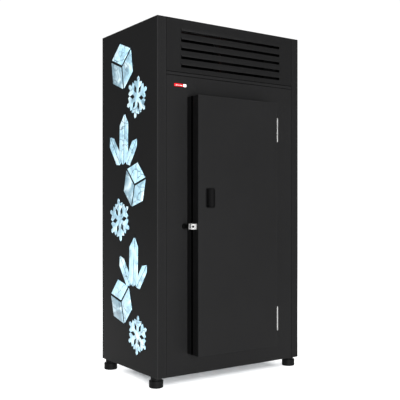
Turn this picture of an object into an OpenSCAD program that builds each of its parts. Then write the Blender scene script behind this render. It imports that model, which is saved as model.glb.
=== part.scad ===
// Upright ice merchandiser freezer. A foamed steel cabinet stands on four levelling feet.
// One foamed door hangs on a raised casing, and the refrigeration unit sits above the
// insulated box, behind a louvred panel. Millimetres; X to the right, Y to the back, +Z up.
// Sizes are taken from the cabinet's front left bottom corner and placed at the end.

/* [Cabinet] */
// Width over the side panels
cab_w = 1010; // [960:10:1200]
// Depth from the front frame to the rear flanges
cab_d = 650; // [600:10:850]
// Height of the body without its feet
body_h = 1950; // [1900:10:2100]
// Height of the machine compartment above the insulated box
machine_h = 312; // [300:2:340]
// Thickness of the outer sheet
sheet_t = 1.5; // [1:0.1:2]
// Bend radius of the vertical corners
corner_r = 5; // [3:0.5:8]
// Thickness of the insulated walls, sheets included
wall_t = 65; // [55:1:75]
// Thickness of the insulated floor
floor_t = 75; // [65:1:90]
// Thickness of the insulated ceiling
ceiling_t = 72; // [60:1:85]
// Thickness of the liner
liner_t = 2; // [1:0.1:3]
// Corner radius inside the liner
liner_r = 14; // [6:1:25]

/* [Front frame] */
// Width of a corner post
post_w = 53; // [46:1:60]
// Distance of the fold line from the outer side
crease_x = 26; // [15:1:40]
// Depth of the lips folded back behind the front
lip_d = 14; // [8:1:18]
// Gap between neighbouring front sheets
seam = 3; // [2:0.1:4]
// Height of the rail between the box and the louvre panel
rail_h = 22; // [16:1:40]
// Distance of the front frame's sheet joints from either side
joint_in = 248; // [220:1:280]

/* [Louvres] */
// Number of louvres
louver_count = 5; // [3:1:5]
// Distance of the louvres' ends from the sides
louver_in = 152; // [120:2:220]
// Height of the opening below a hood's lip
louver_slot = 12.5; // [8:0.5:14]
// Height of the pressed hood over the opening
hood_h = 30; // [22:1:34]
// How far a hood's lip stands out
hood_out = 9; // [6:1:12]
// Distance of the top hood's upper edge from the top of the body
louver_top = 35; // [28:1:45]
// Distance of the lowest slot from the louvre panel's lower edge
louver_low = 26; // [16:1:40]

/* [Door] */
// Width of the door
door_w = 553; // [480:1:600]
// Height of the front frame above the door
door_head = 112; // [90:2:160]
// Distance of the door's free edge from the left side
door_x = 192; // [150:1:210]
// Height of the door's lower edge above the body's bottom
door_z = 116; // [105:1:150]
// Thickness of the door leaf
leaf_t = 56; // [46:1:64]
// How far the casing stands out of the front
casing_d = 47; // [36:1:56]
// Width of the casing round the throat
casing_w = 60; // [50:1:75]
// Gap between casing and leaf, filled by the gasket
gasket_t = 7; // [5:0.5:9]
// Distance of the gasket from the door's edge
gasket_in = 7; // [4:0.5:9]
// Thickness of the door's sheets
pan_t = 1.5; // [1:0.1:2]
// Depth of the door skin's hem
hem_d = 5; // [3:0.5:8]
// Width of the door's edge profile
edge_w = 22; // [20:1:28]
// How far the inner panel's field stands into the throat
field_out = 10; // [4:1:14]
// Gap between the throat and the field all round
field_gap = 22; // [16:1:35]
// Thickness of the throat's plastic lining
breaker_t = 3; // [2:0.5:4]

/* [Hinges] */
// Length of a hinge
hinge_len = 134; // [110:1:170]
// Distance of a hinge's middle from the door's end
hinge_in = 157; // [110:1:200]
// Outer radius of the knuckles
barrel_r = 6; // [5.5:0.5:8]
// Gap between the knuckles and the door's edge
knuckle_gap = 1; // [0.5:0.1:1.5]
// Radius of the hinge pin
pin_r = 3; // [2.5:0.5:4]
// Radial running clearance of the pin
pin_gap = 0.05; // [0.02:0.01:0.1]
// Thickness of the hinge leaves
hinge_t = 2.5; // [2:0.5:3.5]
// Width of the flange on the front frame
flange_w = 60; // [45:1:75]
// Width of the leaf on the door's edge
door_leaf_w = 36; // [30:1:40]
// Length of the door's knuckle
mid_knuckle = 50; // [36:1:60]

/* [Handle and lock] */
// Width of the pull cup
cup_w = 62; // [52:1:80]
// Height of the pull cup
cup_h = 109; // [85:1:140]
// Depth of the pull cup behind the door skin
cup_d = 32; // [22:1:36]
// Distance of the cup from the door's free edge
cup_in = 47; // [40:0.5:70]
// Height of the cup's middle above the door's lower edge
cup_z = 855; // [600:1:1000]
// Corner radius of the cup's rim
cup_r = 12; // [9:1:18]
// Width of the cup's rim
rim_w = 4; // [3:0.5:6]
// How far the rim stands out of the door
rim_out = 1.5; // [1:0.1:2.5]
// Thickness of the cup's walls
cup_t = 2.5; // [1.5:0.1:3]
// How far the cup reaches under its rim for the fingers
grip_in = 12; // [6:1:18]
// Width of the slope that leads the fingers into the cup
ramp_w = 28; // [18:1:32]
// Height of the padlock lugs' middle above the door's lower edge
lug_z = 700; // [500:1:790]
// Height of the lugs
lug_h = 30; // [26:1:45]
// Thickness of the lugs
lug_t = 3; // [2:0.5:4]
// How far the door's lug stands out sideways
lug_out = 36; // [34:1:44]
// How far the casing's lug stands out sideways
rear_lug_out = 33; // [33:1:40]
// How far the casing's lug stands in front of the casing
rear_lug_fwd = 19; // [14:1:24]
// Radius of the padlock holes
lock_r = 5; // [4:0.5:6]
// Distance of the padlock holes from the door's edge
lock_x = 25; // [24:0.5:26]
// Distance of the door's lug behind the door's front
lug_back = 17; // [12:1:20]
// Radius of the rubber stop on the front frame
stop_r = 15; // [10:0.5:18]
// Gap between the rubber stop and the door casing
stop_gap = 5; // [1:0.5:10]
// Thickness of the rubber stop
stop_t = 10; // [6:1:14]

/* [Feet] */
// Height of the feet when fully screwed in
foot_h = 58; // [45:1:70]
// Radius of the foot pads
foot_r = 39; // [30:1:42]
// Radius of the collar above a pad
collar_r = 30; // [24:1:32]
// Height of the collar
collar_h = 19; // [12:1:24]
// Distance of a foot's axis from the side
foot_x = 28; // [24:1:40]
// Distance of a foot's axis from front and back
foot_y = 59; // [45:1:75]
// Radius of the threaded stud
stud_r = 6; // [5:0.5:8]
// Length of the stud above the pad's collar
stud_len = 45; // [40:1:50]

/* [Refrigeration] */
// Distance of the condensing unit from the left side
unit_x = 110; // [90:5:140]
// Distance of the condensing unit from the front
unit_y = 90; // [70:5:110]
// Free width to the right of the condensing unit
unit_right = 300; // [270:5:340]
// Depth of the condensing unit's base
unit_d = 440; // [420:5:460]
// Height of the condensing unit's base
unit_h = 22; // [18:1:30]
// Width of the condenser coil
coil_w = 300; // [260:5:320]
// Free height above the condenser coil
coil_head = 55; // [50:1:80]
// Depth of the condenser coil
coil_d = 60; // [45:1:70]
// Distance of the condenser fan's tips from the shroud's edge
fan_edge = 19.5; // [16:0.5:40]
// Radius of the compressor's shell
comp_r = 76; // [65:1:80]
// Height of the compressor's shell
comp_h = 175; // [150:1:190]
// Width of the evaporator housing
evap_w = 440; // [400:5:480]
// Height of the evaporator housing
evap_h = 150; // [140:1:170]
// Depth of the evaporator housing
evap_d = 230; // [220:5:250]
// Tip radius of the evaporator fans
evap_fan_r = 56; // [45:1:57]
// Radius of the refrigerant tubes
tube_r = 4; // [3:0.5:5]
// Outer radius of the drain tube
drain_r = 9; // [7:0.5:11]
// How far the drain spigot stands out at the back
drain_out = 20; // [16:1:30]
// Radius of the bore for the supply cord
cord_r = 5; // [4:0.5:6]

/* [Hidden] */
$fn = 64;

// Free space between pieces of one body that pass through each other
clear = 0.2;
// Free space between a piece that moves and its neighbour
run = 0.4;
// Overreach of a cut past the face it opens
cut = 1;

deck_h = body_h - machine_h;
door_h = deck_h - door_z - door_head;
door_proud = casing_d + gasket_t + leaf_t;
leaf_back = -casing_d - gasket_t;
leaf_front = -door_proud;
door_rect = [door_x, door_z, door_x + door_w, door_z + door_h];
throat = grow(door_rect, -casing_w);
breaker_rect = grow(throat, breaker_t);
field_rect = grow(throat, -field_gap);
front_x0 = post_w + seam;
front_x1 = cab_w - post_w - seam;
louver_z0 = deck_h + rail_h;
louver_run = body_h - louver_top - hood_h - louver_slot - louver_low - louver_z0;
louver_pitch = louver_run / (louver_count - 1);
back_in = cab_d - 2 * sheet_t;
cav_low = [wall_t, wall_t, floor_t];
cav_high = [cab_w - wall_t, cab_d - wall_t, deck_h - ceiling_t];
y_front = leaf_front - rim_out;
y_back = cab_d + drain_out;
deck_t = 1.5;
base_t = 2;
base_rim = 25;
rear_flange = 20;

function grow(r, d) = [r[0] - d, r[1] - d, r[2] + d, r[3] + d];

steel_dark = [0.17, 0.17, 0.18];
plastic_black = [0.05, 0.05, 0.05];
steel_bright = [0.8, 0.8, 0.8];
galvanised = [0.62, 0.64, 0.66];
copper = [0.72, 0.45, 0.3];
liner_white = [0.86, 0.88, 0.9];
foam_yellow = [0.85, 0.78, 0.55];

// ---- Helpers -------------------------------------------------------------

// Moves the model's front left corner to the frame's origin below the middle
module in_place() {
    translate([-cab_w / 2, -(y_front + y_back) / 2, foot_h]) children();
}

// A block given by its lowest and its highest corner
module block(low, high) {
    translate(low) cube(high - low);
}

// A rectangle [x0, y0, x1, y1] with round corners of radius r
module plate(rect, r = 0) {
    w = rect[2] - rect[0];
    h = rect[3] - rect[1];
    if (r <= 0) translate([rect[0], rect[1]]) square([w, h]);
    else {
        translate([rect[0] + r, rect[1]]) square([w - 2 * r, h]);
        translate([rect[0], rect[1] + r]) square([w, h - 2 * r]);
        for (x = [rect[0] + r, rect[2] - r], y = [rect[1] + r, rect[3] - r])
            translate([x, y]) circle(r = r);
    }
}

// A slot about the origin, with half-round ends
module slot(w, h) {
    square([w - h, h], center = true);
    for (side = [-1, 1]) translate([side * (w - h) / 2, 0]) circle(d = h);
}

// An upright slab: a 2D shape in X and Z, standing from y0 back to y1
module upright(y0, y1) {
    translate([0, y1, 0]) rotate([90, 0, 0]) linear_extrude(y1 - y0) children();
}

// An upright frame between two rectangles, from y0 back to y1
module frame(outer, inner, y0, y1, r = 0, r_in = 0) {
    upright(y0, y1) difference() {
        plate(outer, r);
        plate(inner, r_in);
    }
}

// A cylinder along +Y from a point
module rod_y(at, length, r) {
    translate(at) rotate([-90, 0, 0]) cylinder(h = length, r = r);
}

// A quarter of a bent sheet corner, turned by `turn`
module bend(r, t, turn) {
    rotate(turn) difference() {
        intersection() {
            circle(r = r);
            square(r);
        }
        circle(r = r - t);
    }
}

// A dome-headed screw along -Y: the head's flat side lies at the origin
module dome_screw(head_r, shank_r, shank) {
    rotate([90, 0, 0]) rotate_extrude($fn = 32) {
        translate([0, -shank]) square([shank_r, shank + 0.5]);
        intersection() {
            square([head_r, head_r]);
            translate([0, -head_r * 0.75]) circle(r = head_r * 1.25);
        }
    }
}

// Both lip channels beside the corner posts, over the whole height
module post_channels() {
    for (side = [0, 1]) at_side(side)
        block([post_w - sheet_t, -cut, -cut], [post_w + seam + sheet_t, lip_d, body_h + cut]);
}

// What lies between two heights inside the bent side panels
module inside(z0, z1) {
    intersection() {
        children();
        translate([0, 0, z0]) linear_extrude(z1 - z0)
            plate([sheet_t, sheet_t, cab_w - sheet_t, cab_d - sheet_t], corner_r - sheet_t);
    }
}

// The given shape on the left side, or mirrored to the right side
module at_side(side) {
    if (side == 0) children();
    else translate([cab_w, 0, 0]) mirror([1, 0, 0]) children();
}

// ---- Cabinet shell -------------------------------------------------------

// Section of a side panel: side, rounded front post with its lip, rear flange
module side_section() {
    difference() {
        union() {
            translate([corner_r, 0]) square([post_w - corner_r, sheet_t]);
            translate([post_w - sheet_t, 0]) square([sheet_t, lip_d]);
            translate([0, corner_r]) square([sheet_t, cab_d - 2 * corner_r]);
            translate([corner_r, cab_d - sheet_t]) square([rear_flange - corner_r, sheet_t]);
            translate([corner_r, corner_r]) bend(corner_r, sheet_t, 180);
            translate([corner_r, cab_d - corner_r]) bend(corner_r, sheet_t, 90);
        }
        translate([crease_x - seam / 2, -cut]) square([seam, cut + sheet_t / 3]);
    }
}

module left_side_panel() {
    color(steel_dark) in_place() linear_extrude(body_h) side_section();
}

module right_side_panel() {
    color(steel_dark) in_place() at_side(1) linear_extrude(body_h) side_section();
}

// Pressed vertical beads that stiffen the back
bead_r = 14;
bead_out = 1.2;
bead_count = 4;
module back_beads(out) {
    span = cab_w - 2 * rear_flange;
    for (i = [1 : bead_count])
        translate([rear_flange + span * i / (bead_count + 1), back_in + sheet_t - bead_r + out, 0])
            translate([0, 0, floor_t]) cylinder(h = deck_h - 2 * floor_t, r = bead_r);
}

module back_panel() {
    color(galvanised) in_place() difference() {
        union() {
            inside(0, deck_h) block([0, back_in, 0], [cab_w, back_in + sheet_t, deck_h]);
            intersection() {
                back_beads(bead_out);
                block([0, back_in, 0], [cab_w, cab_d, deck_h]);
            }
        }
        rod_y([drain_x, back_in - cut, drain_z], cut * 2 + sheet_t + bead_out, drain_r + clear);
    }
}

// Ventilation slots in the upper back panel
vent_cols = 3;
vent_rows = 7;
vent_w = 190;
vent_h = 9;
vent_pitch = 26;
module rear_vent_panel() {
    rise = deck_h + seam;
    color(galvanised) in_place() difference() {
        inside(rise, body_h) upright(back_in, back_in + sheet_t) difference() {
            plate([0, rise, cab_w, body_h - sheet_t - clear]);
            for (i = [0 : vent_cols - 1], j = [0 : vent_rows - 1])
                translate([cab_w / 2 + (i - (vent_cols - 1) / 2) * (vent_w + 45),
                           (rise + body_h) / 2 + (j - (vent_rows - 1) / 2) * vent_pitch])
                    slot(vent_w, vent_h);
        }
        rod_y([gland_x, back_in - cut, gland_z], sheet_t + 2 * cut, gland_r + clear);
        for (p = vent_screw_places) rod_y([p[0], back_in - cut, p[1]], sheet_t + 2 * cut, screw_hole);
    }
}

vent_screw_in = 40;
vent_screw_places = [for (x = [vent_screw_in, cab_w - vent_screw_in],
                          z = [deck_h + 30, body_h - 30]) [x, z]];
screw_r = 5;
shank_r = 2;
screw_hole = shank_r + clear;
// Distance of a hinge's outer screws from its ends
screw_end = 20;

// Lid with flanges folded down inside the side panels
top_flange = 18;
module top_panel() {
    front = sheet_t + clear;
    low = body_h - top_flange;
    color(steel_dark) in_place() difference() {
        inside(low, body_h) block([0, front, low], [cab_w, back_in + sheet_t, body_h]);
        block([2 * sheet_t, front + sheet_t, low - cut],
              [cab_w - 2 * sheet_t, back_in - clear - sheet_t, body_h - sheet_t]);
        // The upper back panel stands under the rear edge
        block([0, back_in - clear, low - cut], [cab_w, cab_d, body_h - sheet_t]);
        post_channels();
        // The louvre panel's hoods and lips stay clear of the front flange
        block([post_w, 0, low - cut], [cab_w - post_w, lip_d, body_h - sheet_t]);
    }
}

module base_shape() {
    difference() {
        inside(0, base_rim) block([0, 0, 0], [cab_w, back_in, base_rim]);
        block([2 * sheet_t, 2 * sheet_t, base_t],
              [cab_w - 2 * sheet_t, back_in - sheet_t, base_rim + cut]);
        post_channels();
    }
}

module base_pan() {
    color(galvanised) in_place() difference() {
        base_shape();
        for (side = [0, 1], y = foot_ys) at_side(side)
            translate([foot_x, y, -cut]) cylinder(h = base_t + 2 * cut, r = stud_r + 3 * clear);
    }
}

// ---- Feet ----------------------------------------------------------------

foot_ys = [foot_y, cab_d - foot_y];
nut_plate = [62, 62, 5];
nut_h = 14;
// Distance of a nut plate from the side, clear of the base pan's rim
nut_in = 2 * sheet_t + clear;
nut_flat = 19;

// Welded plate with a tall nut that takes a foot's stud
module foot_nut(y) {
    difference() {
        union() {
            translate([nut_in, y - nut_plate[1] / 2, base_t]) cube(nut_plate);
            translate([foot_x, y, base_t + nut_plate[2]])
                cylinder(h = nut_h, d = nut_flat / cos(30), $fn = 6);
        }
        translate([foot_x, y, 0])
            cylinder(h = base_t + nut_plate[2] + nut_h + cut, r = stud_r + pin_gap);
    }
}

module foot_nuts() {
    color(steel_bright) in_place() for (side = [0, 1], y = foot_ys) at_side(side) foot_nut(y);
}

// Levelling foot: a moulded pad with its collar on a steel stud
pad_round = 5;
pad_top_round = 3;
module foot(x, y) {
    pad_h = foot_h - collar_h;
    color(plastic_black) in_place() translate([x, y, -foot_h]) {
        rotate_extrude() {
            translate([0, pad_round]) square([foot_r, pad_h - pad_round - pad_top_round]);
            square([foot_r - pad_round, pad_h]);
            translate([foot_r - pad_round, pad_round]) circle(r = pad_round);
            translate([foot_r - pad_top_round, pad_h - pad_top_round]) circle(r = pad_top_round);
            square([foot_r - pad_top_round, pad_h]);
            square([collar_r, foot_h - run]);
        }
        translate([0, 0, foot_h - 2 * run]) cylinder(h = stud_len, r = stud_r);
    }
}

module foot_front_left() foot(foot_x, foot_ys[0]);
module foot_front_right() foot(cab_w - foot_x, foot_ys[0]);
module foot_rear_left() foot(foot_x, foot_ys[1]);
module foot_rear_right() foot(cab_w - foot_x, foot_ys[1]);

// ---- Front ---------------------------------------------------------------

// Lips along both sides of a front sheet, between two heights
module side_lips(z0, z1) {
    for (side = [0, 1]) at_side(side)
        block([front_x0, 0, z0], [front_x0 + sheet_t, lip_d, z1]);
}

module front_frame() {
    color(steel_dark) in_place() difference() {
        union() {
            block([front_x0, 0, 0], [front_x1, sheet_t, deck_h]);
            side_lips(0, deck_h);
        }
        upright(-cut, sheet_t + cut) plate(breaker_rect);
        for (x = [joint_in, cab_w - joint_in], z = [[-cut, door_z], [door_z + door_h, deck_h + cut]])
            block([x - seam / 2, -cut, z[0]], [x + seam / 2, sheet_t / 3, z[1]]);
        for (p = flange_screws) rod_y([p[0], -cut, p[1]], sheet_t + 2 * cut, screw_hole);
    }
}

// Channel between the two seams above the box
module header_rail() {
    z0 = deck_h + seam;
    z1 = louver_z0 - seam;
    color(steel_dark) in_place() difference() {
        block([front_x0, 0, z0], [front_x1, lip_d, z1]);
        block([front_x0 - cut, sheet_t, z0 + sheet_t], [front_x1 + cut, lip_d + cut, z1 - sheet_t]);
    }
}

// Section of a hood from its lip to its top, where it runs smoothly into the panel
hood_steps = 8;
function hood_arc(thin) = [for (i = [0 : hood_steps]) let (s = 1 - i / hood_steps)
    [hood_out * s * s - thin, hood_h * (1 - s)]];

// Solid of a hood, or its hollow when `thin` is the sheet, with round corners seen from above.
// It reaches `deep` behind the panel's face and `low` below the lip.
module hood(x0, x1, thin, deep, low) {
    intersection() {
        rotate([90, 0, -90]) translate([0, 0, -x1]) linear_extrude(x1 - x0)
            polygon(concat([[-deep, -low], [hood_out - thin, -low]], hood_arc(thin),
                           [[-deep, hood_h]]));
        translate([0, 0, -low - cut]) linear_extrude(hood_h + low + 2 * cut)
            plate([x0, thin - hood_out, x1, 2 * hood_out], hood_out * 0.8 - thin);
    }
}

module louver_panel() {
    x0 = louver_in;
    x1 = cab_w - louver_in;
    lip_z = body_h - louver_top - hood_h;
    color(steel_dark) in_place() difference() {
        union() {
            block([front_x0, 0, louver_z0], [front_x1, sheet_t, body_h]);
            side_lips(louver_z0, body_h);
            for (i = [0 : louver_count - 1]) translate([0, 0, lip_z - i * louver_pitch])
                hood(x0 - sheet_t, x1 + sheet_t, 0, sheet_t / 2, 0);
        }
        for (i = [0 : louver_count - 1]) translate([0, 0, lip_z - i * louver_pitch]) {
            hood(x0, x1, sheet_t, sheet_t + cut, cut);
            block([x0, -cut, -louver_slot], [x1, sheet_t + cut, 0]);
        }
    }
}

// ---- Insulated box -------------------------------------------------------

// Gap between the deck and the folded lips of the front sheets
deck_gap = 1;
// Deck that closes the foam, with a rim turned up all round
deck_rim = 15;
module deck_shape() {
    difference() {
        inside(deck_h - deck_t, deck_h) block([0, 0, deck_h - deck_t], [cab_w, back_in, deck_h]);
        post_channels();
    }
    difference() {
        inside(deck_h - deck_t, deck_h + deck_rim)
            block([0, lip_d + deck_gap, deck_h - deck_t], [cab_w, back_in, deck_h + deck_rim]);
        block([2 * sheet_t, lip_d + deck_gap + sheet_t, deck_h - cut],
              [cab_w - 2 * sheet_t, back_in - sheet_t, deck_h + deck_rim + cut]);
        translate([0, 0, -deck_rim]) post_channels();
    }
}

module machine_deck() {
    color(galvanised) in_place() difference() {
        deck_shape();
        translate([pass_x, pass_y, deck_h - deck_t - cut]) cylinder(h = deck_t + 2 * cut, r = pass_r);
    }
}

// Liner or its space, grown by `more` on every side
module liner_box(more) {
    translate([0, 0, cav_low[2] - more])
        linear_extrude(cav_high[2] - cav_low[2] + 2 * more)
            plate([cav_low[0] - more, cav_low[1] - more, cav_high[0] + more, cav_high[1] + more],
                  liner_r + more);
}

module inner_liner() {
    color(liner_white) in_place() difference() {
        liner_box(liner_t);
        liner_box(0);
        upright(wall_t - liner_t - cut, wall_t + cut) plate(breaker_rect);
        translate([pass_x, pass_y, cav_high[2] - cut]) cylinder(h = liner_t + 2 * cut, r = pass_r);
        rod_y([drain_x, cav_high[1] - cut, drain_z], liner_t + 2 * cut, drain_r + clear);
    }
}

module foam_core() {
    color(foam_yellow) in_place() difference() {
        inside(base_t, deck_h - deck_t) block([0, 0, 0], [cab_w, back_in, deck_h]);
        base_shape();
        post_channels();
        liner_box(liner_t);
        upright(0, wall_t) plate(breaker_rect);
        translate([pass_x, pass_y, cav_high[2]]) cylinder(h = ceiling_t, r = pass_r);
        rod_y([drain_x, cav_high[1], drain_z], wall_t, drain_r + clear);
        for (side = [0, 1], y = foot_ys) at_side(side) {
            translate([nut_in, y - nut_plate[1] / 2, 0])
                cube([nut_plate[0], nut_plate[1], base_t + nut_plate[2]]);
            translate([foot_x, y, 0]) cylinder(h = stud_len + 10, r = nut_flat * 0.62);
        }
    }
}

// Plastic lining of the throat, with a lip over the liner's cut edge
breaker_lip = 8;
module throat_breaker() {
    color(plastic_black) in_place() {
        frame(breaker_rect, throat, 0, wall_t + breaker_t);
        frame(grow(breaker_rect, breaker_lip), throat, wall_t, wall_t + breaker_t);
    }
}

// Raised casing that the door closes on, with a step for the gasket's magnet strip
strip_in = gasket_in + 1;
strip_w = 14;
strip_d = 0.8;
module door_casing() {
    color(plastic_black) in_place() difference() {
        frame(door_rect, throat, -casing_d, 0);
        frame(grow(door_rect, -strip_in), grow(door_rect, -strip_in - strip_w),
              -casing_d - cut, -casing_d + strip_d);
    }
}

// ---- Hinges --------------------------------------------------------------

hinge_x = door_rect[2] + knuckle_gap + barrel_r;
hinge_y = leaf_front + barrel_r;
hinge_zs = [door_z + door_h - hinge_in, door_z + hinge_in];
outer_knuckle = (hinge_len - mid_knuckle) / 2;
screw_rows = [0.24, 0.67];
flange_screws = [for (z = hinge_zs, x = flange_w * screw_rows, s = [-1, 1])
    [hinge_x + barrel_r + x, z + s * (hinge_len / 2 - screw_end)]];

// Knuckle ring of one length, standing at a height on the hinge axis
module knuckle(z0, z1) {
    translate([0, 0, z0]) linear_extrude(z1 - z0) difference() {
        circle(r = barrel_r);
        circle(r = pin_r + pin_gap);
    }
}

// Bracket on the front frame: two knuckles on a plate that bends into a screwed flange
module hinge_bracket(z) {
    plate_x = barrel_r - hinge_t;
    bend_r = 2 * hinge_t;
    reach = -hinge_y;
    notch = barrel_r + run;
    color(steel_bright) in_place() difference() {
        translate([hinge_x, hinge_y, z - hinge_len / 2]) difference() {
            union() {
                knuckle(0, outer_knuckle);
                knuckle(hinge_len - outer_knuckle, hinge_len);
                linear_extrude(hinge_len) {
                    difference() {
                        translate([plate_x, 0]) square([hinge_t, reach - bend_r]);
                        circle(r = pin_r + pin_gap);
                    }
                    translate([plate_x + bend_r, reach - bend_r]) bend(bend_r, hinge_t, 90);
                    translate([plate_x + bend_r, reach - hinge_t])
                        square([flange_w - bend_r + hinge_t, hinge_t]);
                }
            }
            translate([-notch, -notch, outer_knuckle - run / 2])
                cube([2 * notch, 2 * notch, mid_knuckle + run]);
        }
        for (p = flange_screws) rod_y([p[0], -hinge_t - cut, p[1]], hinge_t + 2 * cut, screw_hole);
    }
}

module upper_hinge_bracket() hinge_bracket(hinge_zs[0]);
module lower_hinge_bracket() hinge_bracket(hinge_zs[1]);

// Pins with a button head at each end
pin_head = 2.5;
module hinge_pins() {
    color(steel_bright) in_place() for (z = hinge_zs) translate([hinge_x, hinge_y, z - hinge_len / 2]) {
        cylinder(h = hinge_len, r = pin_r);
        for (end = [-pin_head, hinge_len]) translate([0, 0, end])
            cylinder(h = pin_head, r = barrel_r - 1);
    }
}

leaf_holes = [-0.36, 0, 0.36];
// Leaf on the door's edge: the middle knuckle on a screwed plate
module door_leaf(z) {
    notch = barrel_r + run;
    color(steel_bright) in_place() difference() {
        translate([hinge_x, hinge_y, z - hinge_len / 2]) difference() {
            union() {
                knuckle(outer_knuckle + run / 2, hinge_len - outer_knuckle - run / 2);
                translate([-barrel_r - knuckle_gap, 0, 0]) difference() {
                    linear_extrude(hinge_len) difference() {
                        square([hinge_t, door_leaf_w]);
                        translate([barrel_r + knuckle_gap, 0]) circle(r = pin_r + pin_gap);
                    }
                    for (z1 = [-cut, hinge_len - outer_knuckle - run / 2])
                        translate([-cut, -cut, z1])
                            cube([barrel_r, notch + cut, outer_knuckle + run / 2 + cut]);
                }
            }
        }
        for (p = leaf_screw_places(z)) translate([door_rect[2] - cut, p[0], p[1]])
            rotate([0, 90, 0]) cylinder(h = hinge_t + 2 * cut, r = screw_hole);
    }
}

// Distance of the leaf's screws from its rear edge
leaf_screw_in = 10;
function leaf_screw_places(z) = [for (s = leaf_holes)
    [hinge_y + door_leaf_w - leaf_screw_in, z + s * hinge_len]];

module upper_door_leaf() door_leaf(hinge_zs[0]);
module lower_door_leaf() door_leaf(hinge_zs[1]);

// Screws through the hinge flanges and the upper back panel
module panel_screws() {
    color(steel_bright) in_place() {
        for (p = flange_screws) translate([p[0], -hinge_t, p[1]])
            dome_screw(screw_r, shank_r, hinge_t + sheet_t);
        for (p = vent_screw_places) translate([p[0], back_in + sheet_t, p[1]])
            mirror([0, 1, 0]) dome_screw(screw_r, shank_r, sheet_t);
    }
}

// Screws that hold the hinge leaves on the door's edge
module door_leaf_screws() {
    color(steel_bright) in_place() for (z = hinge_zs, p = leaf_screw_places(z))
        translate([door_rect[2] + hinge_t, p[0], p[1]])
            rotate(90) dome_screw(screw_r, shank_r, hinge_t - clear);
}

// ---- Door ----------------------------------------------------------------

cup_rect = [door_x + cup_in, door_z + cup_z - cup_h / 2,
            door_x + cup_in + cup_w, door_z + cup_z + cup_h / 2];
cup_neck = grow(cup_rect, cup_t - rim_w);
// Space of the cup's body behind the skin, wider on the side where the fingers grip
cup_body = [cup_neck[0] - grip_in, cup_neck[1], cup_neck[2], cup_neck[3]];
neck_d = 6;

module door_outer_pan() {
    color(steel_dark) in_place() difference() {
        union() {
            upright(leaf_front, leaf_front + pan_t) plate(door_rect);
            frame(door_rect, grow(door_rect, -pan_t), leaf_front, leaf_front + hem_d);
        }
        upright(leaf_front - cut, leaf_front + pan_t + cut) plate(cup_neck, cup_r - rim_w + cup_t);
    }
}

// Plastic profile round the leaf, grooved at the back for the gasket's dart
groove_in = gasket_in + 5;
groove_w = 5;
groove_d = 5;
module door_edge_frame() {
    inner = grow(door_rect, -edge_w);
    color(plastic_black) in_place() difference() {
        union() {
            frame(grow(door_rect, -pan_t), inner, leaf_front + pan_t, leaf_back);
            frame(door_rect, inner, leaf_front + hem_d, leaf_back);
        }
        frame(grow(door_rect, -groove_in), grow(door_rect, -groove_in - groove_w),
              leaf_back - groove_d, leaf_back + cut);
    }
}

module door_foam() {
    color(foam_yellow) in_place() difference() {
        union() {
            upright(leaf_front + pan_t, leaf_back - pan_t) plate(grow(door_rect, -edge_w));
            upright(leaf_back - 2 * pan_t, leaf_back + field_out - pan_t)
                plate(grow(field_rect, -pan_t), liner_r - pan_t);
        }
        cup_shape(0, 0);
    }
}

// Inner panel with a field that stands into the throat
module door_inner_panel() {
    color(liner_white) in_place() difference() {
        union() {
            upright(leaf_back - pan_t, leaf_back) plate(grow(door_rect, -edge_w));
            upright(leaf_back - pan_t, leaf_back + field_out) plate(field_rect, liner_r);
        }
        upright(leaf_back - pan_t - cut, leaf_back + field_out - pan_t)
            plate(grow(field_rect, -pan_t), liner_r - pan_t);
    }
}

// Magnetic gasket: dart, base, bellows and magnet bulb, one ring each
module door_gasket() {
    y = leaf_back;
    neck = (gasket_t - run) * 0.28;
    color([0.12, 0.12, 0.12]) in_place() {
        frame(grow(door_rect, -groove_in - clear), grow(door_rect, -groove_in - groove_w + clear),
              y - groove_d + clear, y);
        frame(grow(door_rect, -gasket_in), grow(door_rect, -edge_w - 1), y, y + neck, 6, 3);
        frame(grow(door_rect, -gasket_in - 4), grow(door_rect, -edge_w + 2), y, y + 2 * neck, 4, 2);
        frame(grow(door_rect, -gasket_in - 1), grow(door_rect, -edge_w - 2), y + 2 * neck,
              y + gasket_t - run, 6, 3);
    }
}

// The cup's body, or its hollow when `thin` is the wall: neck and wider room behind the skin
module cup_shape(thin, lead) {
    corner = cup_r - rim_w + cup_t - thin;
    upright(leaf_front - lead, leaf_front + neck_d) plate(grow(cup_neck, -thin), corner);
    upright(leaf_front + (thin == 0 ? pan_t : neck_d - thin), leaf_front + cup_d - thin)
        plate(grow(cup_body, -thin), corner);
}

// Rounded slope from the cup's right rim down to its floor
ramp_edge = 3;
ramp_steps = 12;
module cup_ramp() {
    x1 = cup_neck[2] - cup_t;
    y0 = leaf_front + ramp_edge;
    y1 = leaf_front + cup_d - cup_t;
    back = cup_t / 2;
    intersection() {
        upright(y0, y1 + back) plate(grow(cup_neck, -back), cup_r - rim_w + back);
        translate([0, 0, cup_neck[1]]) linear_extrude(cup_neck[3] - cup_neck[1])
            polygon(concat([for (i = [0 : ramp_steps]) let (a = 90 * i / ramp_steps)
                [x1 - ramp_w * cos(a), y1 - (y1 - y0) * sin(a)]],
                [[x1 + back, y0], [x1 + back, y1 + back], [x1 - ramp_w, y1 + back]]));
    }
}

module pull_cup() {
    color(plastic_black) in_place() {
        difference() {
            union() {
                upright(leaf_front - rim_out, leaf_front) plate(cup_rect, cup_r);
                cup_shape(0, 0);
            }
            cup_shape(cup_t, rim_out + cut);
        }
        cup_ramp();
    }
}

// ---- Padlock lugs and stop -----------------------------------------------

lug_rect_z = [door_z + lug_z - lug_h / 2, door_z + lug_z + lug_h / 2];
lug_fold = 2;

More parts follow.
